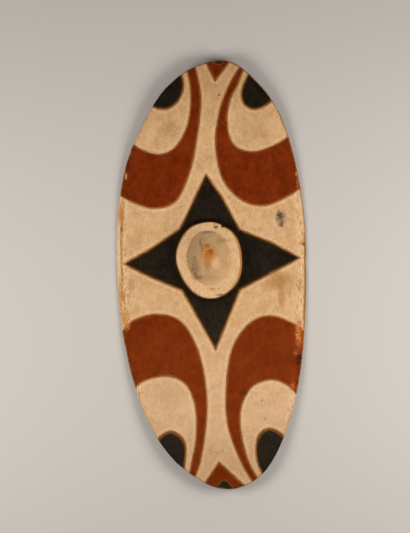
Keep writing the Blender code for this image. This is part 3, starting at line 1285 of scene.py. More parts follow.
class Effects:
    """Effects that several finishes share, each a group of nodes that is made once."""

    def __init__(self) -> None:
        """Makes the groups."""
        self.painted_edge = self._painted_edge()
        self.stain = self._stain()
        self.chalk = self._chalk()
        self.wood = self._wood()

    @staticmethod
    def _new(
        name: str, inputs: tuple[tuple[str, str, float | tuple[float, ...]], ...], outputs: tuple[str, ...],
    ) -> tuple[bpy.types.NodeTree, Sheet, bpy.types.NodeOutputs, bpy.types.NodeInputs]:
        """Starts a group.

        Args:
            name: The group's name.
            inputs: Name, kind and value of each input.
            outputs: Name of each output, all of them numbers.

        Returns:
            The group, its sheet, its input sockets by name and its output sockets by name.
        """
        group = bpy.data.node_groups.new(name, "ShaderNodeTree")
        for label, kind, value in inputs:
            socket = group.interface.new_socket(name=label, in_out="INPUT", socket_type=f"NodeSocket{kind}")
            socket.default_value = value
        for label in outputs:
            group.interface.new_socket(name=label, in_out="OUTPUT", socket_type="NodeSocketFloat")
        sheet = Sheet(group)
        start = sheet.add("NodeGroupInput")
        end = sheet.add("NodeGroupOutput")
        return group, sheet, start.outputs, end.inputs

    def _painted_edge(self) -> bpy.types.NodeTree:
        """Makes a mask that ends at a line as a brush leaves it: a little unsteady and a little soft.

        Returns:
            The group.
        """
        group, sheet, given, out = self._new(
            "painted_edge",
            (
                ("Distance", "Float", 0.0), ("Wander", "Float", 0.6),
                ("Softness", "Float", 0.5), ("Seed", "Float", 0.0),
            ),
            ("Mask",),
        )
        seed = sheet.feed_all(sheet.add("ShaderNodeCombineXYZ"), X=given["Seed"])
        place = sheet.vector("ADD", sheet.place(), seed[0])["Vector"]
        broad = sheet.less(sheet.clouds(place, 70.0, 2.0), 0.5)
        fine = sheet.less(sheet.clouds(place, 420.0, 2.0), 0.5)
        shaken = sheet.value("MULTIPLY_ADD", broad, 3.0, sheet.times(fine, 1.8))
        moved = sheet.value("MULTIPLY_ADD", shaken, given["Wander"], given["Distance"])
        soft = sheet.value("ADD", sheet.value("DIVIDE", moved, given["Softness"]), 0.5)
        sheet.feed(out["Mask"], sheet.step(soft, 0.0, 1.0))
        return group

    def _stain(self) -> bpy.types.NodeTree:
        """Makes a mask for one smudge or pit at a place, with ragged borders.

        Returns:
            The group.
        """
        group, sheet, given, out = self._new(
            "stain",
            (
                ("Place", "Vector", (0.0, 0.0, 0.0)), ("Reach", "Vector", (0.01, 0.01, 0.01)),
                ("Ragged", "Float", 0.5), ("Raggedness", "Float", 0.5), ("Softness", "Float", 0.5),
            ),
            ("Mask",),
        )
        away = sheet.vector("SUBTRACT", sheet.place(), given["Place"])["Vector"]
        share = sheet.vector("DIVIDE", away, given["Reach"])["Vector"]
        flat = sheet.vector("MULTIPLY", share, (1.0, 1.0, 0.0))["Vector"]
        length = sheet.vector("LENGTH", flat)["Value"]
        ragged = sheet.less(given["Ragged"], 0.5)
        moved = sheet.value("MULTIPLY_ADD", ragged, sheet.times(given["Raggedness"], 4.0), length)
        outermost = sheet.value("ADD", 1.0, given["Softness"])
        patch = sheet.step(moved, outermost, sheet.less(1.0, given["Softness"]))
        sheet.feed(out["Mask"], sheet.times(patch, sheet.step(length, 1.55, 0.95)))
        return group

    def _chalk(self) -> bpy.types.NodeTree:
        """Makes hand-laid matt paint: cloudy tone, grit, a bent net of cracks, and its relief.

        Returns:
            The group.
        """
        group, sheet, given, out = self._new(
            "chalky_paint", (("Crack Scale", "Float", 40.0),), ("Clouds", "Grit", "Cracks", "Height"),
        )
        here = sheet.place()
        broad = sheet.clouds(here, 24.0)
        streaks = sheet.clouds(sheet.place((95.0, 60.0, 60.0)), 1.0, 4.0, 0.6)
        grit = sheet.clouds(here, 420.0, 2.0)
        bend = sheet.feed_all(sheet.add("ShaderNodeTexNoise"), Vector=here, Scale=90.0)["Color"]
        small = sheet.vector("MULTIPLY", bend, (0.016, 0.016, 0.016))["Vector"]
        bent = sheet.vector("ADD", here, small)["Vector"]
        net = sheet.add("ShaderNodeTexVoronoi", feature="DISTANCE_TO_EDGE")
        gap = sheet.feed_all(net, Vector=bent, Scale=given["Crack Scale"])["Distance"]
        patches = sheet.step(sheet.clouds(here, 22.0), 0.50, 0.62)
        cracks = sheet.times(sheet.step(gap, 0.045, 0.008), patches)
        height = sheet.value("MULTIPLY_ADD", sheet.clouds(here, 200.0, 4.0, 0.6), 0.7, sheet.times(grit, 0.2))
        height = sheet.value("MULTIPLY_ADD", streaks, 0.4, height)
        sheet.feed(out["Clouds"], sheet.value("MULTIPLY_ADD", streaks, 0.5, sheet.times(broad, 0.5)))
        sheet.feed(out["Grit"], grit)
        sheet.feed(out["Cracks"], cracks)
        sheet.feed(out["Height"], sheet.value("MULTIPLY_ADD", cracks, -0.5, height))
        return group

    def _wood(self) -> bpy.types.NodeTree:
        """Makes bare plank wood: long grain along the board, pores and their relief.

        Returns:
            The group.
        """
        group, sheet, given, out = self._new(
            "plank_wood", (("Pore Height", "Float", -0.5),), ("Grain", "Pores", "Height"),
        )
        bands = sheet.clouds(sheet.place((60.0, 2.6, 60.0)), 1.0, 5.0, 0.6)
        rings = sheet.clouds(sheet.place((260.0, 5.0, 260.0)), 1.0, 3.0, 0.6)
        pores = sheet.clouds(sheet.place((1500.0, 55.0, 1500.0)), 1.0, 2.0, 0.5)
        marks = sheet.step(pores, 0.57, 0.72)
        sheet.feed(out["Grain"], sheet.value("MULTIPLY_ADD", rings, 0.45, sheet.times(bands, 0.55)))
        sheet.feed(out["Pores"], marks)
        height = sheet.value("MULTIPLY_ADD", marks, given["Pore Height"], sheet.times(rings, 0.6))
        sheet.feed(out["Height"], height)
        return group


class Ragged(Enum):
    """How a stain's border frays: waves to the metre across and along the board, and how sparse."""

    FINE = (300.0, 300.0, 0.0)
    COARSE = (150.0, 150.0, 0.0)
    LONG = (330.0, 70.0, 0.0)
    CRUMBS = (250.0, 190.0, 0.13)


@dataclass(frozen=True)
class Stain:
    """One smudge, worn patch, spot or pit on the painted side. Places are in metres."""

    place: Place
    reach: Place
    colour: Colour
    strength: float = 0.8
    raggedness: float = 0.5
    softness: float = 0.5
    border: Ragged = Ragged.FINE


WORN_ORANGE = light(204, 142, 78)
SMUDGE_GREY = light(96, 80, 56)
PIT_BROWN = light(84, 58, 32)
CRUST = light(242, 200, 152)
STAIN_TAN = light(170, 116, 60)
FIELD_STAINS: tuple[Stain, ...] = (
    Stain((0.1890, 0.1478), (0.0125, 0.0210), SMUDGE_GREY, 0.70, 0.7, 0.9, Ragged.COARSE),
    Stain((0.1860, 0.1540), (0.0070, 0.0110), light(64, 56, 44), 0.80, 0.9, 0.6, Ragged.COARSE),
    Stain((0.1915, 0.1330), (0.0050, 0.0090), light(84, 72, 52), 0.75, 1.0, 0.6, Ragged.COARSE),
    Stain((0.1789, -0.0167), (0.0260, 0.0220), STAIN_TAN, 0.75, 0.7, 1.0, Ragged.COARSE),
    Stain((0.1500, -0.0330), (0.0200, 0.0150), light(184, 134, 80), 0.55, 0.8, 1.0, Ragged.COARSE),
    Stain((0.1847, -0.0504), (0.0090, 0.0440), light(176, 124, 70), 0.70, 0.8, 0.9, Ragged.LONG),
    Stain((0.2050, -0.0300), (0.0120, 0.0260), light(188, 138, 86), 0.50, 0.8, 0.9, Ragged.COARSE),
    Stain((-0.2178, -0.0227), (0.0090, 0.0160), light(172, 132, 88), 0.60, 0.8, 0.9, Ragged.LONG),
    Stain((-0.1067, 0.3921), (0.0280, 0.0180), light(172, 130, 84), 0.60, 0.7, 1.0, Ragged.COARSE),
    Stain((0.1235, 0.3870), (0.0320, 0.0280), light(176, 136, 92), 0.40, 0.4, 1.0, Ragged.COARSE),
    Stain((-0.1300, -0.3150), (0.0300, 0.0420), light(190, 152, 108), 0.40, 0.6, 1.0, Ragged.COARSE),
    Stain((0.0739, -0.3151), (0.0110, 0.0070), light(84, 38, 16), 0.70, 1.0, 0.8, Ragged.COARSE),
    Stain((0.0325, 0.4819), (0.0034, 0.0030), PIT_BROWN, 0.62, 0.8, 0.6),
    Stain((0.0505, 0.4063), (0.0022, 0.0040), light(78, 40, 22), 0.75, 0.7, 0.5),
    Stain((0.1241, -0.3407), (0.0028, 0.0026), PIT_BROWN, 0.42, 0.9, 0.6),
    Stain((0.1307, -0.3891), (0.0024, 0.0034), PIT_BROWN, 0.40, 0.9, 0.6),
    Stain((0.0344, 0.2675), (0.0024, 0.0024), PIT_BROWN, 0.70, 0.6, 0.5),
    Stain((0.0514, 0.2053), (0.0024, 0.0024), PIT_BROWN, 0.70, 0.6, 0.5),
)
RIM_STAINS: tuple[Stain, ...] = (
    Stain((-0.2403, 0.1709), (0.0095, 0.0280), WORN_ORANGE, 0.85, 0.5, 0.7, Ragged.LONG),
    Stain((-0.2370, 0.1640), (0.0050, 0.0300), light(176, 120, 62), 0.60, 0.9, 0.6, Ragged.LONG),
    Stain((-0.2404, 0.1290), (0.0030, 0.0090), light(136, 70, 30), 0.75, 0.8, 0.6),
    Stain((-0.2443, -0.0594), (0.0085, 0.0600), light(196, 134, 72), 0.85, 0.6, 0.7, Ragged.LONG),
    Stain((-0.2400, -0.0700), (0.0060, 0.0500), light(164, 108, 54), 0.60, 1.0, 0.6, Ragged.LONG),
    Stain((-0.2350, -0.1120), (0.0110, 0.0280), WORN_ORANGE, 0.80, 0.7, 0.7, Ragged.COARSE),
    Stain((-0.2420, -0.0750), (0.0100, 0.0300), CRUST, 0.75, 1.1, 0.4, Ragged.CRUMBS),
    Stain((-0.2380, -0.0300), (0.0070, 0.0260), CRUST, 0.70, 1.1, 0.4, Ragged.CRUMBS),
    Stain((0.2460, 0.0800), (0.0100, 0.0070), light(186, 126, 64), 0.80, 0.7, 0.6, Ragged.COARSE),
    Stain((0.2490, 0.0760), (0.0045, 0.0040), light(124, 70, 32), 0.80, 0.6, 0.6),
    Stain((0.2360, -0.0330), (0.0110, 0.0260), light(164, 104, 58), 0.60, 1.1, 0.4, Ragged.CRUMBS),
    Stain((0.2250, -0.1750), (0.0150, 0.0420), light(144, 62, 18), 0.45, 0.6, 1.0, Ragged.COARSE),
    Stain((0.2290, -0.1620), (0.0100, 0.0360), light(178, 94, 36), 0.70, 1.0, 0.8, Ragged.COARSE),
    Stain((0.2275, -0.1660), (0.0090, 0.0330), light(222, 142, 78), 0.80, 1.1, 0.5, Ragged.CRUMBS),
    Stain((0.2210, -0.2150), (0.0100, 0.0100), light(200, 122, 80), 0.65, 1.0, 0.6, Ragged.CRUMBS),
    Stain((0.2265, -0.2330), (0.0080, 0.0180), light(56, 24, 10), 0.75, 0.8, 0.9, Ragged.COARSE),
    Stain((0.2110, -0.2850), (0.0090, 0.0260), light(150, 66, 20), 0.40, 0.8, 1.0, Ragged.COARSE),
    Stain((0.2080, -0.3040), (0.0085, 0.0150), light(206, 98, 36), 0.75, 1.0, 0.5, Ragged.CRUMBS),
    Stain((0.2060, -0.3080), (0.0060, 0.0070), light(184, 92, 34), 0.50, 0.8, 0.8, Ragged.COARSE),
    Stain((-0.2237, 0.2722), (0.0034, 0.0085), light(206, 148, 104), 0.80, 0.9, 0.4),
    Stain((-0.2182, 0.3069), (0.0036, 0.0170), light(50, 22, 12), 0.55, 0.9, 0.5),
    Stain((0.2342, 0.2657), (0.0028, 0.0060), light(206, 140, 96), 0.80, 0.9, 0.4),
    Stain((0.2372, 0.2402), (0.0030, 0.0190), light(170, 98, 56), 0.70, 1.0, 0.4),
)
BOSS_STAINS: tuple[Stain, ...] = (
    Stain((-0.0400, 0.0900), (0.0300, 0.0280), light(144, 114, 80), 0.38, 0.6, 0.9, Ragged.COARSE),
    Stain((-0.0530, 0.0500), (0.0130, 0.0400), light(144, 112, 76), 0.38, 0.6, 0.9, Ragged.COARSE),
    Stain((-0.0129, 0.1148), (0.0170, 0.0040), light(128, 98, 66), 0.55, 0.9, 0.8, Ragged.COARSE),
    Stain((0.0300, 0.0920), (0.0180, 0.0070), light(146, 110, 72), 0.50, 0.9, 0.9, Ragged.COARSE),
    Stain((-0.0191, -0.0060), (0.0300, 0.0090), light(156, 118, 76), 0.50, 0.8, 0.9, Ragged.COARSE),
    Stain((0.0108, 0.0340), (0.0110, 0.0150), light(232, 188, 134), 0.60, 0.7, 0.8, Ragged.COARSE),
    Stain((0.0330, 0.0380), (0.0060, 0.0180), light(196, 144, 82), 0.45, 0.7, 0.9, Ragged.COARSE),
    Stain((-0.0430, 0.0180), (0.0150, 0.0300), light(130, 96, 58), 0.34, 0.9, 0.9, Ragged.COARSE),
    Stain((-0.0450, 0.0180), (0.0110, 0.0260), light(104, 76, 44), 0.42, 1.1, 0.7, Ragged.CRUMBS),
    Stain((-0.0350, -0.0040), (0.0110, 0.0080), light(104, 76, 44), 0.40, 1.0, 0.7, Ragged.CRUMBS),
    Stain((-0.0519, 0.0168), (0.0036, 0.0062), light(108, 74, 38), 0.55, 0.8, 0.8),
    Stain((-0.0442, 0.0045), (0.0040, 0.0052), light(104, 70, 36), 0.55, 0.8, 0.8),
    Stain((-0.0426, -0.0063), (0.0032, 0.0050), light(104, 70, 36), 0.50, 0.8, 0.8),
    Stain((-0.0324, -0.0052), (0.0036, 0.0036), light(104, 74, 40), 0.55, 0.8, 0.8),
    Stain((-0.0115, 0.0345), (0.0080, 0.0240), light(168, 112, 56), 0.75, 0.9, 0.7, Ragged.COARSE),
    Stain((-0.0085, 0.0600), (0.0210, 0.0230), light(168, 116, 60), 0.70, 0.8, 0.9, Ragged.COARSE),
    Stain((-0.0080, 0.0590), (0.0150, 0.0180), light(208, 128, 50), 0.85, 0.8, 0.8, Ragged.COARSE),
    Stain((-0.0070, 0.0580), (0.0150, 0.0190), light(158, 88, 30), 0.75, 1.1, 0.5, Ragged.CRUMBS),
    Stain((-0.0010, 0.0640), (0.0055, 0.0060), light(116, 62, 22), 0.70, 0.7, 1.0),
    Stain((-0.0110, 0.0790), (0.0070, 0.0060), light(134, 84, 36), 0.60, 1.0, 0.8),
    Stain((-0.0280, 0.0880), (0.0034, 0.0120), light(104, 78, 48), 0.55, 0.7, 0.9),
    Stain((-0.0240, 0.0720), (0.0030, 0.0080), light(112, 80, 46), 0.50, 0.8, 0.9),
    Stain((-0.0443, 0.0460), (0.0050, 0.0060), light(112, 88, 60), 0.45, 0.8, 0.9),
    Stain((0.0136, 0.1296), (0.0052, 0.0056), light(62, 38, 14), 1.0, 0.5, 0.6),
    Stain((0.0140, 0.1322), (0.0024, 0.0036), light(224, 180, 124), 0.90, 0.3, 0.6),
    Stain((0.0330, 0.1290), (0.0055, 0.0030), light(34, 24, 14), 0.95, 0.4, 0.5),
    Stain((0.0223, -0.0530), (0.0130, 0.0036), light(110, 78, 46), 0.75, 1.1, 0.7),
    Stain((-0.0012, -0.0370), (0.0180, 0.0036), light(160, 120, 78), 0.60, 1.3, 0.8, Ragged.COARSE),
)


@dataclass(frozen=True)
class Finish:
    """Colours of the painted side."""

    lime_light: Colour = light(222, 178, 131)
    lime_dark: Colour = light(202, 156, 106)
    # Pale crusty lime; beside the grooves it also serves as a painted highlight.
    lime_crust_and_highlight: Colour = CRUST
    lime_cool: Colour = light(218, 178, 144)
    lime_fleck: Colour = light(150, 110, 70)
    ochre_light: Colour = light(128, 48, 10)
    ochre_dark: Colour = light(103, 33, 4)
    ochre_pale: Colour = light(138, 62, 22)
    ochre_worn: Colour = light(172, 108, 52)
    soot_light: Colour = light(40, 32, 22)
    soot_dark: Colour = light(21, 17, 11)
    soot_worn: Colour = light(124, 84, 44)
    soot_brown: Colour = light(58, 32, 8)
    eye_line: Colour = light(136, 84, 38)
    # Painted shade: multiplied over the paints towards both tips, where the light falls off.
    tip_shade: Colour = light(188, 170, 137)
    soot_dust: Colour = light(72, 66, 54)
    wood_light: Colour = light(200, 148, 92)
    wood_dark: Colour = light(156, 104, 56)
    worn_brown: Colour = light(140, 94, 50)
    rim_tan: Colour = light(196, 146, 92)
    rim_brown: Colour = light(178, 118, 58)
    rim_ochre: Colour = light(156, 106, 50)
    # Painted shade for the thin line along the outermost edge.
    rim_edge_shade: Colour = light(104, 70, 38)
    cap_grey: Colour = light(178, 140, 98)
    cap_shade: Colour = light(138, 106, 74)
    boss_wear: Colour = light(166, 110, 58)


@dataclass
class PaintedFront:
    """The painted side: lime white under red ochre and soot black, bare where it was cut or is worn.

    The wear is laid on as washes. Each is a mask made of soft steps over the shield's marks in
    millimetres, over places in metres and over the noises, times a strength.
    """

    effects: Effects
    finish: Finish = field(default_factory=Finish)
    roughness: Place = (0.78, 0.98)
    soot_smoothness: float = 0.18
    specular: float = 0.03
    relief_strength: float = 0.55
    relief_height: float = 0.0008
    sheet: Sheet = field(init=False)
    chalk: bpy.types.NodeOutputs = field(init=False)
    wood: bpy.types.NodeOutputs = field(init=False)
    ragged: dict[Ragged, Socket] = field(init=False)
    cloud: Socket = field(init=False)
    lime: Socket = field(init=False)

    def build(self) -> bpy.types.Material:
        """Makes the material.

        Returns:
            The material.
        """
        material, shader = new_material("painted_front")
        self.sheet = sheet = Sheet(material.node_tree)
        self.chalk = self.group(self.effects.chalk)
        self.wood = self.group(self.effects.wood)
        self.ragged = {border: self.frayed(*border.value) for border in Ragged}
        self.cloud = sheet.step(self.chalk["Clouds"], 0.34, 0.66)
        self.lime = self.lime_colour()
        soot = self.edge(sheet.mark("soot"), 0.35, 0.9, 2.0)
        on_boss = self.strip(sheet.mark("boss"), -0.8, 0.7, 1.4, 3.0)
        colour = sheet.mix(on_boss, self.paint_fields(soot), self.lime)
        colour = self.dress_boss(self.dress_rim(colour))
        for stain in (*RIM_STAINS, *FIELD_STAINS, *BOSS_STAINS):
            colour = sheet.wash(colour, stain.colour, self.smudge(stain), stain.strength)
        sheet.feed(shader.inputs["Base Color"], self.paint_tip_shade(colour))
        dark = sheet.times(soot, sheet.less(1.0, on_boss), self.soot_smoothness)
        rough = sheet.scaled(self.chalk["Grit"], *self.roughness)
        sheet.feed(shader.inputs["Roughness"], sheet.less(rough, dark))
        shader.inputs["Specular IOR Level"].default_value = self.specular
        cut = self.strip(sheet.mark("groove"), 2.0, 0.4, 0.9, 4.0)
        height = sheet.mix(cut, self.chalk["Height"], self.wood["Height"])
        sheet.relief(shader, height, self.relief_strength, self.relief_height)
        return material

    def frayed(self, across: float, along: float, sparse: float) -> Socket:
        """Makes the noise that frays a stain's border.

        Args:
            across: Waves to the metre across the board.
            along: Waves to the metre along the board.
            sparse: How much of the stain it eats away.

        Returns:
            The noise.
        """
        noisy = self.sheet.clouds(self.sheet.place((across, along, along)), 1.0, 3.0, 0.62)
        return self.sheet.value("ADD", noisy, sparse) if sparse else noisy

    def patchy(self, border: Ragged, low: float, high: float) -> Socket:
        """Soft step of one of the noises."""
        return self.sheet.step(self.ragged[border], low, high)

    def group(self, tree: bpy.types.NodeTree, **values: Feed) -> bpy.types.NodeOutputs:
        """Places a shared effect and gives it values."""
        return self.sheet.feed_all(self.sheet.add("ShaderNodeGroup", node_tree=tree), **values)

    def edge(self, distance: Feed, wander: float, softness: Feed, seed: float) -> Socket:
        """Makes a hand-painted edge.

        Args:
            distance: How far inside the edge a point lies, in millimetres.
            wander: How unsteady the edge is.
            softness: How wide it fades, in millimetres.
            seed: Picks one pattern of unsteadiness.

        Returns:
            The mask of what lies inside.
        """
        return self.group(
            self.effects.painted_edge, Distance=distance, Wander=wander, Softness=softness, Seed=seed,
        )["Mask"]

    def strip(self, distance: Feed, width: Feed, wander: float, softness: Feed, seed: float) -> Socket:
        """A hand-painted edge at a width from a line, with the mask on the line's side."""
        return self.edge(self.sheet.less(width, distance), wander, softness, seed)

    def smudge(self, stain: Stain) -> Socket:
        """Makes a stain's mask.

        Args:
            stain: The stain.

        Returns:
            The mask.
        """
        return self.group(
            self.effects.stain, Place=(*stain.place, 0.0), Reach=(*stain.reach, 1.0),
            Ragged=self.ragged[stain.border], Raggedness=stain.raggedness, Softness=stain.softness,
        )["Mask"]

    def across(self) -> tuple[Socket, Socket]:
        """The point's place across and along the board, in metres."""
        split = self.sheet.feed_all(self.sheet.add("ShaderNodeSeparateXYZ"), Vector=self.sheet.place())
        return split["X"], split["Y"]

    def paint_tip_shade(self, colour: Socket) -> Socket:
        """Darkens the paints towards both tips: painted shade for the light that falls off towards the ends.

        Args:
            colour: The colour so far.

        Returns:
            The colour.
        """
        sheet = self.sheet
        _, y = self.across()
        # Painted shade, darker towards the top and bottom tips.
        upper = sheet.times(sheet.step(y, 0.38, 0.56), 0.42)
        lower = sheet.times(sheet.step(y, -0.36, -0.53), 0.36)
        return sheet.mix(sheet.value("ADD", upper, lower), colour, self.finish.tip_shade, "MULTIPLY")

    def lime_colour(self) -> Socket:
        """Makes lime white with its clouds, grit, flecks and fine cracks.

        Returns:
            The colour.
        """
        look, sheet = self.finish, self.sheet
        lime = sheet.mix(self.cloud, look.lime_dark, look.lime_light)
        lime = sheet.wash(lime, look.lime_cool, sheet.step(self.across()[1], -0.12, -0.30), 0.36)
        lime = sheet.wash(lime, look.lime_crust_and_highlight, self.patchy(Ragged.COARSE, 0.46, 0.66), 0.24)
        for mask, strength in (
            (self.patchy(Ragged.LONG, 0.42, 0.30), 0.22),
            (sheet.step(self.chalk["Grit"], 0.46, 0.30), 0.12),
            (self.patchy(Ragged.FINE, 0.31, 0.25), 0.75),
            (self.chalk["Cracks"], 0.32),
        ):
            lime = sheet.wash(lime, look.lime_fleck, mask, strength)
        return lime

    def paint_fields(self, soot: Socket) -> Socket:
        """Fills the carved fields and leaves their grooves bare, with a painted highlight band beside each
        groove.

        Args:
            soot: The mask of the black fields.

        Returns:
            The colour.
        """
        look, sheet = self.finish, self.sheet
        groove, inside = sheet.mark("groove"), sheet.mark("ochre")
        _, y = self.across()
        # Pale band beside each groove: painted highlight where the groove's shoulder catches the light,
        # together with cleaner paint.
        groove_highlight = sheet.band(groove, (12.5, 8.5), (4.0, 7.5))
        colour = sheet.wash(self.lime, look.lime_crust_and_highlight, groove_highlight, self.patchy(Ragged.COARSE, 0.34, 0.56), 0.40)
        wood = sheet.mix(sheet.step(self.wood["Grain"], 0.36, 0.64), look.wood_dark, look.wood_light)
        width = sheet.less(sheet.scaled(self.cloud, 2.7, 3.9), sheet.step(inside, -9.0, -6.0))
        colour = sheet.mix(self.strip(groove, width, 1.2, 1.8, 4.0), colour, wood)
        body = sheet.mix(self.cloud, look.ochre_dark, look.ochre_light)
        body = sheet.wash(body, look.ochre_pale, sheet.step(y, -0.05, -0.20), 0.24)
        body = sheet.wash(body, look.ochre_worn, self.strip(inside, 2.8, 1.3, 4.0, 7.0), 0.62)
        colour = sheet.mix(self.edge(inside, 0.5, 1.6, 1.0), colour, body)
        return sheet.mix(soot, colour, self.soot_colour())

    def soot_colour(self) -> Socket:
        """Makes soot black, dusty, and rubbed brown at its borders, most of all on the lower eyes.

        Returns:
            The colour.
        """
        look, sheet = self.finish, self.sheet
        _, y = self.across()
        inside = sheet.mark("soot")
        body = sheet.mix(self.cloud, look.soot_dark, look.soot_light)
        body = sheet.wash(body, look.soot_dust, self.patchy(Ragged.FINE, 0.62, 0.76), 0.35)
        body = sheet.wash(body, look.soot_dust, sheet.step(y, -0.04, -0.18), 0.14)
        body = sheet.wash(body, look.soot_brown, self.strip(inside, 6.2, 1.4, 5.0, 12.0), 0.85)
        low = sheet.band(y, (-0.32, -0.36), (-0.465, -0.43))
        uneven = sheet.scaled(self.ragged[Ragged.COARSE], 0.2, 1.2)
        body = sheet.wash(body, look.eye_line, low, uneven, sheet.step(inside, 8.5, 3.5))
        return sheet.wash(body, look.soot_worn, self.strip(inside, 2.6, 1.2, 2.2, 11.0), 0.94)

    def dress_boss(self, colour: Socket) -> Socket:
        """Greys the worn cap and wears the boss's arris to the wood.

        Args:
            colour: The colour so far.

        Returns:
            The colour.
        """
        look, sheet = self.finish, self.sheet
        x, y = self.across()
        boss = sheet.mark("boss")
        rubbed = sheet.value("MULTIPLY_ADD", sheet.step(y, 0.080, 0.118), -6.5, sheet.mark("cap"))
        ring = sheet.times(sheet.step(boss, -1.0, -5.0), sheet.step(rubbed, 0.0, 5.0))
        mottle = sheet.scaled(self.ragged[Ragged.COARSE], 0.0, 0.42)
        colour = sheet.wash(colour, look.lime_crust_and_highlight, ring, mottle)
        colour = sheet.wash(colour, look.lime_crust_and_highlight, ring, self.patchy(Ragged.LONG, 0.54, 0.66), 0.45)
        colour = sheet.wash(colour, look.lime_fleck, ring, self.patchy(Ragged.FINE, 0.38, 0.30), 0.50)
        side = sheet.step(sheet.less(sheet.times(y, 0.6), x), -0.04, 0.085)
        near = sheet.scaled(side, 0.46, 1.0)
        cap = self.strip(rubbed, 0.0, 2.6, sheet.scaled(side, 15.0, 4.5), 5.0)
        faded = sheet.scaled(self.patchy(Ragged.COARSE, 0.36, 0.64), 0.45, 1.0)
        colour = sheet.wash(colour, look.cap_grey, cap, faded, near)
        on_cap = sheet.times(sheet.step(rubbed, 1.0, -5.0), near)
        colour = sheet.wash(colour, look.cap_shade, on_cap, self.patchy(Ragged.FINE, 0.50, 0.36), 0.55)
        colour = sheet.wash(colour, look.lime_light, on_cap, self.patchy(Ragged.FINE, 0.56, 0.68), 0.45)
        border = sheet.band(rubbed, (-7.0, -0.5), (1.6, 0.2))
        left = sheet.times(side, self.patchy(Ragged.COARSE, 0.66, 0.42))
        colour = sheet.wash(colour, look.cap_shade, border, left, 0.60)
        right = sheet.step(x, 0.02, 0.07)
        lower = sheet.times(sheet.step(x, 0.0, -0.05), sheet.step(y, 0.06, 0.0))
        upper = sheet.times(sheet.step(x, -0.01, -0.05), sheet.step(y, 0.04, 0.08))
        reach = sheet.value("MULTIPLY_ADD", right, 4.4, sheet.value("MULTIPLY_ADD", lower, 2.4, 1.2))
        reach = sheet.value("MULTIPLY_ADD", upper, 2.8, reach)
        rub = self.edge(sheet.value("ADD", boss, reach), 1.6, 2.4, 10.0)
        brown = sheet.value("MAXIMUM", right, self.patchy(Ragged.COARSE, 0.50, 0.62))
        tone = sheet.mix(brown, look.cap_shade, look.boss_wear)
        colour = sheet.wash(colour, tone, rub, sheet.step(boss, 1.8, 0.6), 0.80)
        stripes = sheet.band(boss, (-0.6, 1.0), (9.0, 2.0))
        uneven = sheet.scaled(self.patchy(Ragged.COARSE, 0.40, 0.60), 0.55, 1.0)
        return sheet.wash(colour, look.soot_brown, stripes, uneven)

    def dress_rim(self, colour: Socket) -> Socket:
        """Wears the rim: crusty lime with brown flecks, and brown wood along its arris; a thin painted shade
        line runs along the outermost edge.

        Args:
            colour: The colour so far.

        Returns:
            The colour.
        """
        look, sheet = self.finish, self.sheet
        rim, arris = sheet.mark("rim"), sheet.mark("arris")
        x, y = self.across()
        ochre, soot = (sheet.step(sheet.mark(paint.value), -0.5, 0.5) for paint in Field)
        plain = sheet.less(sheet.less(1.0, ochre), soot)
        side = sheet.step(sheet.value("ABSOLUTE", x), 0.17, 0.22)
        right = sheet.step(x, 0.02, 0.08)
        zone = sheet.times(sheet.step(arris, 24.0, 3.0), side, plain)
        flecks = sheet.times(self.patchy(Ragged.LONG, 0.44, 0.34), sheet.scaled(right, 1.0, 0.55))
        colour = sheet.wash(colour, look.lime_crust_and_highlight, zone, self.patchy(Ragged.LONG, 0.44, 0.56), 0.90)
        colour = sheet.wash(colour, look.worn_brown, zone, flecks, 0.80)
        colour = sheet.wash(colour, look.worn_brown, zone, self.patchy(Ragged.FINE, 0.40, 0.32), 0.60)
        tall = sheet.band(y, (-0.20, -0.13), (0.26, 0.18))
        left = sheet.times(sheet.less(1.0, right), tall, plain)
        colour = sheet.wash(colour, look.lime_crust_and_highlight, sheet.step(arris, 0.5, -3.0), left, 0.60)
        away = sheet.value("ABSOLUTE", sheet.less(arris, 1.6))
        uneven = sheet.scaled(self.patchy(Ragged.COARSE, 0.66, 0.42), 0.45, 1.0)
        colour = sheet.wash(colour, look.rim_brown, self.strip(away, 3.2, 1.8, 2.6, 6.0), uneven, left, 0.85)
        upper = sheet.times(right, sheet.step(y, -0.22, -0.14))
        bare = sheet.times(sheet.step(arris, -3.0, -6.0), upper, plain)
        colour = sheet.wash(colour, look.rim_tan, bare, self.patchy(Ragged.COARSE, 0.40, 0.60), 0.55)
        width = sheet.scaled(sheet.band(y, (-0.16, -0.11), (0.12, 0.07)), 2.6, 6.2)
        colour = sheet.wash(colour, look.rim_ochre, self.strip(rim, width, 1.3, 2.6, 8.0), upper, 0.85)
        crumbs = sheet.scaled(self.patchy(Ragged.COARSE, 0.36, 0.60), 0.25, 1.0)
        edge = self.strip(rim, 4.0, 1.6, 2.4, 13.0)
        colour = sheet.wash(colour, look.ochre_worn, edge, crumbs, ochre, 0.62)
        scuffs = sheet.times(sheet.step(rim, 12.0, 4.0), self.patchy(Ragged.COARSE, 0.52, 0.42))
        colour = sheet.wash(colour, look.soot_brown, scuffs, ochre, 0.42)
        # Thin dark line along the outermost edge: painted shade where the edge turns from the light.
        return sheet.wash(colour, look.rim_edge_shade, self.strip(rim, 0.8, 0.8, 1.4, 9.0), 0.45)


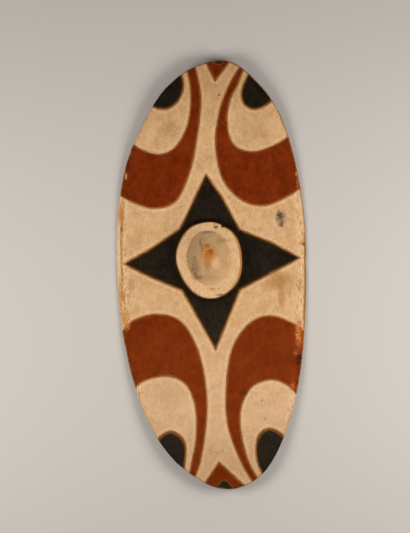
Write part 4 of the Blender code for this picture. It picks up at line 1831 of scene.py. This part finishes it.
@dataclass
class HewnWood:
    """Bare wood of the back and the grip, darkened by age and handling."""

    effects: Effects
    name: str
    light_wood: Colour
    dark_wood: Colour
    roughness: float
    relief_height: float = 0.0008
    relief_strength: float = 0.6
    roughness_spread: float = 0.08
    specular: float = 0.35
    pores: float = 0.5
    age: float = 0.35

    def build(self) -> bpy.types.Material:
        """Makes the material.

        Returns:
            The material.
        """
        material, shader = new_material(self.name)
        sheet = Sheet(material.node_tree)
        wood = sheet.add("ShaderNodeGroup", node_tree=self.effects.wood).outputs
        chalk = sheet.add("ShaderNodeGroup", node_tree=self.effects.chalk).outputs
        colour = sheet.mix(sheet.step(wood["Grain"], 0.36, 0.64), self.dark_wood, self.light_wood)
        colour = sheet.wash(colour, self.dark_wood, wood["Pores"], self.pores)
        colour = sheet.wash(colour, self.dark_wood, sheet.step(chalk["Clouds"], 0.42, 0.62), self.age)
        sheet.feed(shader.inputs["Base Color"], colour)
        low, high = self.roughness - self.roughness_spread, self.roughness + self.roughness_spread
        sheet.feed(shader.inputs["Roughness"], sheet.scaled(wood["Grain"], high, low))
        shader.inputs["Specular IOR Level"].default_value = self.specular
        sheet.relief(shader, wood["Height"], self.relief_strength, self.relief_height)
        return material


@dataclass(frozen=True)
class Lamp:
    """One soft lamp: its name, its place, the width of its face in metres and its power in watts."""

    name: str
    place: tuple[float, float, float]
    size: float
    power: float


@dataclass
class Studio:
    """A pale floor, soft lights and the camera."""

    floor_size: float = 30.0
    floor_colour: Colour = light(205, 198, 190)
    floor_roughness: float = 0.9
    floor_specular: float = 0.1
    lamps: tuple[Lamp, ...] = (
        Lamp("lamp_right", (1.30, -0.20, 1.30), 0.9, 20.5),
        Lamp("lamp_left", (-1.30, -0.20, 1.38), 0.9, 19.5),
    )
    room_colour: Colour = (1.0, 0.97, 0.93, 1.0)
    room_strength: float = 0.22
    camera_place: Place = (-0.0182, 0.0238)
    camera_distance: float = 8.0
    camera_turn: float = math.radians(-1.65)
    camera_range: Place = (0.1, 100.0)
    picture_height: float = 1.4275
    tip_height: float = 0.044
    film: float = 36.0

    def build(self) -> None:
        """Sets up floor, lights, surroundings and camera."""
        self.lay_floor()
        for lamp in self.lamps:
            self.add_lamp(lamp)
        self.fill_room()
        self.set_camera()

    def lay_floor(self) -> None:
        """Lays the floor under the shield."""
        shape = bmesh.new()
        bmesh.ops.create_grid(shape, x_segments=1, y_segments=1, size=self.floor_size / 2)
        mesh = bpy.data.meshes.new("floor")
        shape.to_mesh(mesh)
        shape.free()
        floor = bpy.data.objects.new("floor", mesh)
        bpy.context.scene.collection.objects.link(floor)
        material, shader = new_material("floor_paint")
        shader.inputs["Base Color"].default_value = self.floor_colour
        shader.inputs["Roughness"].default_value = self.floor_roughness
        shader.inputs["Specular IOR Level"].default_value = self.floor_specular
        mesh.materials.append(material)

    @staticmethod
    def add_lamp(lamp: Lamp) -> None:
        """Adds one soft lamp that points at the shield.

        Args:
            lamp: The lamp.
        """
        data = bpy.data.lights.new(lamp.name, "AREA")
        data.size = lamp.size
        data.energy = lamp.power
        item = bpy.data.objects.new(lamp.name, data)
        item.location = lamp.place
        item.rotation_euler = (-Vector(lamp.place)).to_track_quat("-Z", "Y").to_euler()
        bpy.context.scene.collection.objects.link(item)

    def fill_room(self) -> None:
        """Gives the surroundings a plain pale light."""
        world = bpy.data.worlds.new("room")
        world.use_nodes = True
        back = world.node_tree.nodes["Background"]
        back.inputs["Color"].default_value = self.room_colour
        back.inputs["Strength"].default_value = self.room_strength
        bpy.context.scene.world = world
        bpy.context.scene.view_settings.view_transform = "Standard"

    def set_camera(self) -> None:
        """Sets the camera over the shield, turned as the photograph's view is."""
        data = bpy.data.cameras.new("camera")
        data.sensor_width = self.film
        data.lens = self.film * (self.camera_distance - self.tip_height) / self.picture_height
        data.clip_start, data.clip_end = self.camera_range
        camera = bpy.data.objects.new("camera", data)
        camera.location = (*self.camera_place, self.camera_distance)
        camera.rotation_euler = (0.0, 0.0, self.camera_turn)
        bpy.context.scene.collection.objects.link(camera)
        bpy.context.scene.camera = camera


def main() -> None:
    """Builds the shield and its studio in order."""
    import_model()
    board = Board()
    boss = Boss(board)
    maker = CarvedShield(board, boss, Motif(board), Grip(boss))
    shield = maker.build()
    maker.mark(shield)
    effects = Effects()
    finishes = (
        PaintedFront(effects),
        HewnWood(effects, "hewn_back", light(150, 108, 68), light(92, 62, 36), 0.78),
        HewnWood(effects, "handled_grip", light(120, 80, 46), light(70, 44, 24), 0.5, 0.0004),
    )
    for slot, finish in enumerate(finishes):
        shield.data.materials[slot] = finish.build()
    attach(shield, "root")
    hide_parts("shield")
    LOG.info("piece %s rides on root", shield.name)
    Studio().build()


if __name__ == "__main__":
    logging.basicConfig(level=logging.INFO)
    main()
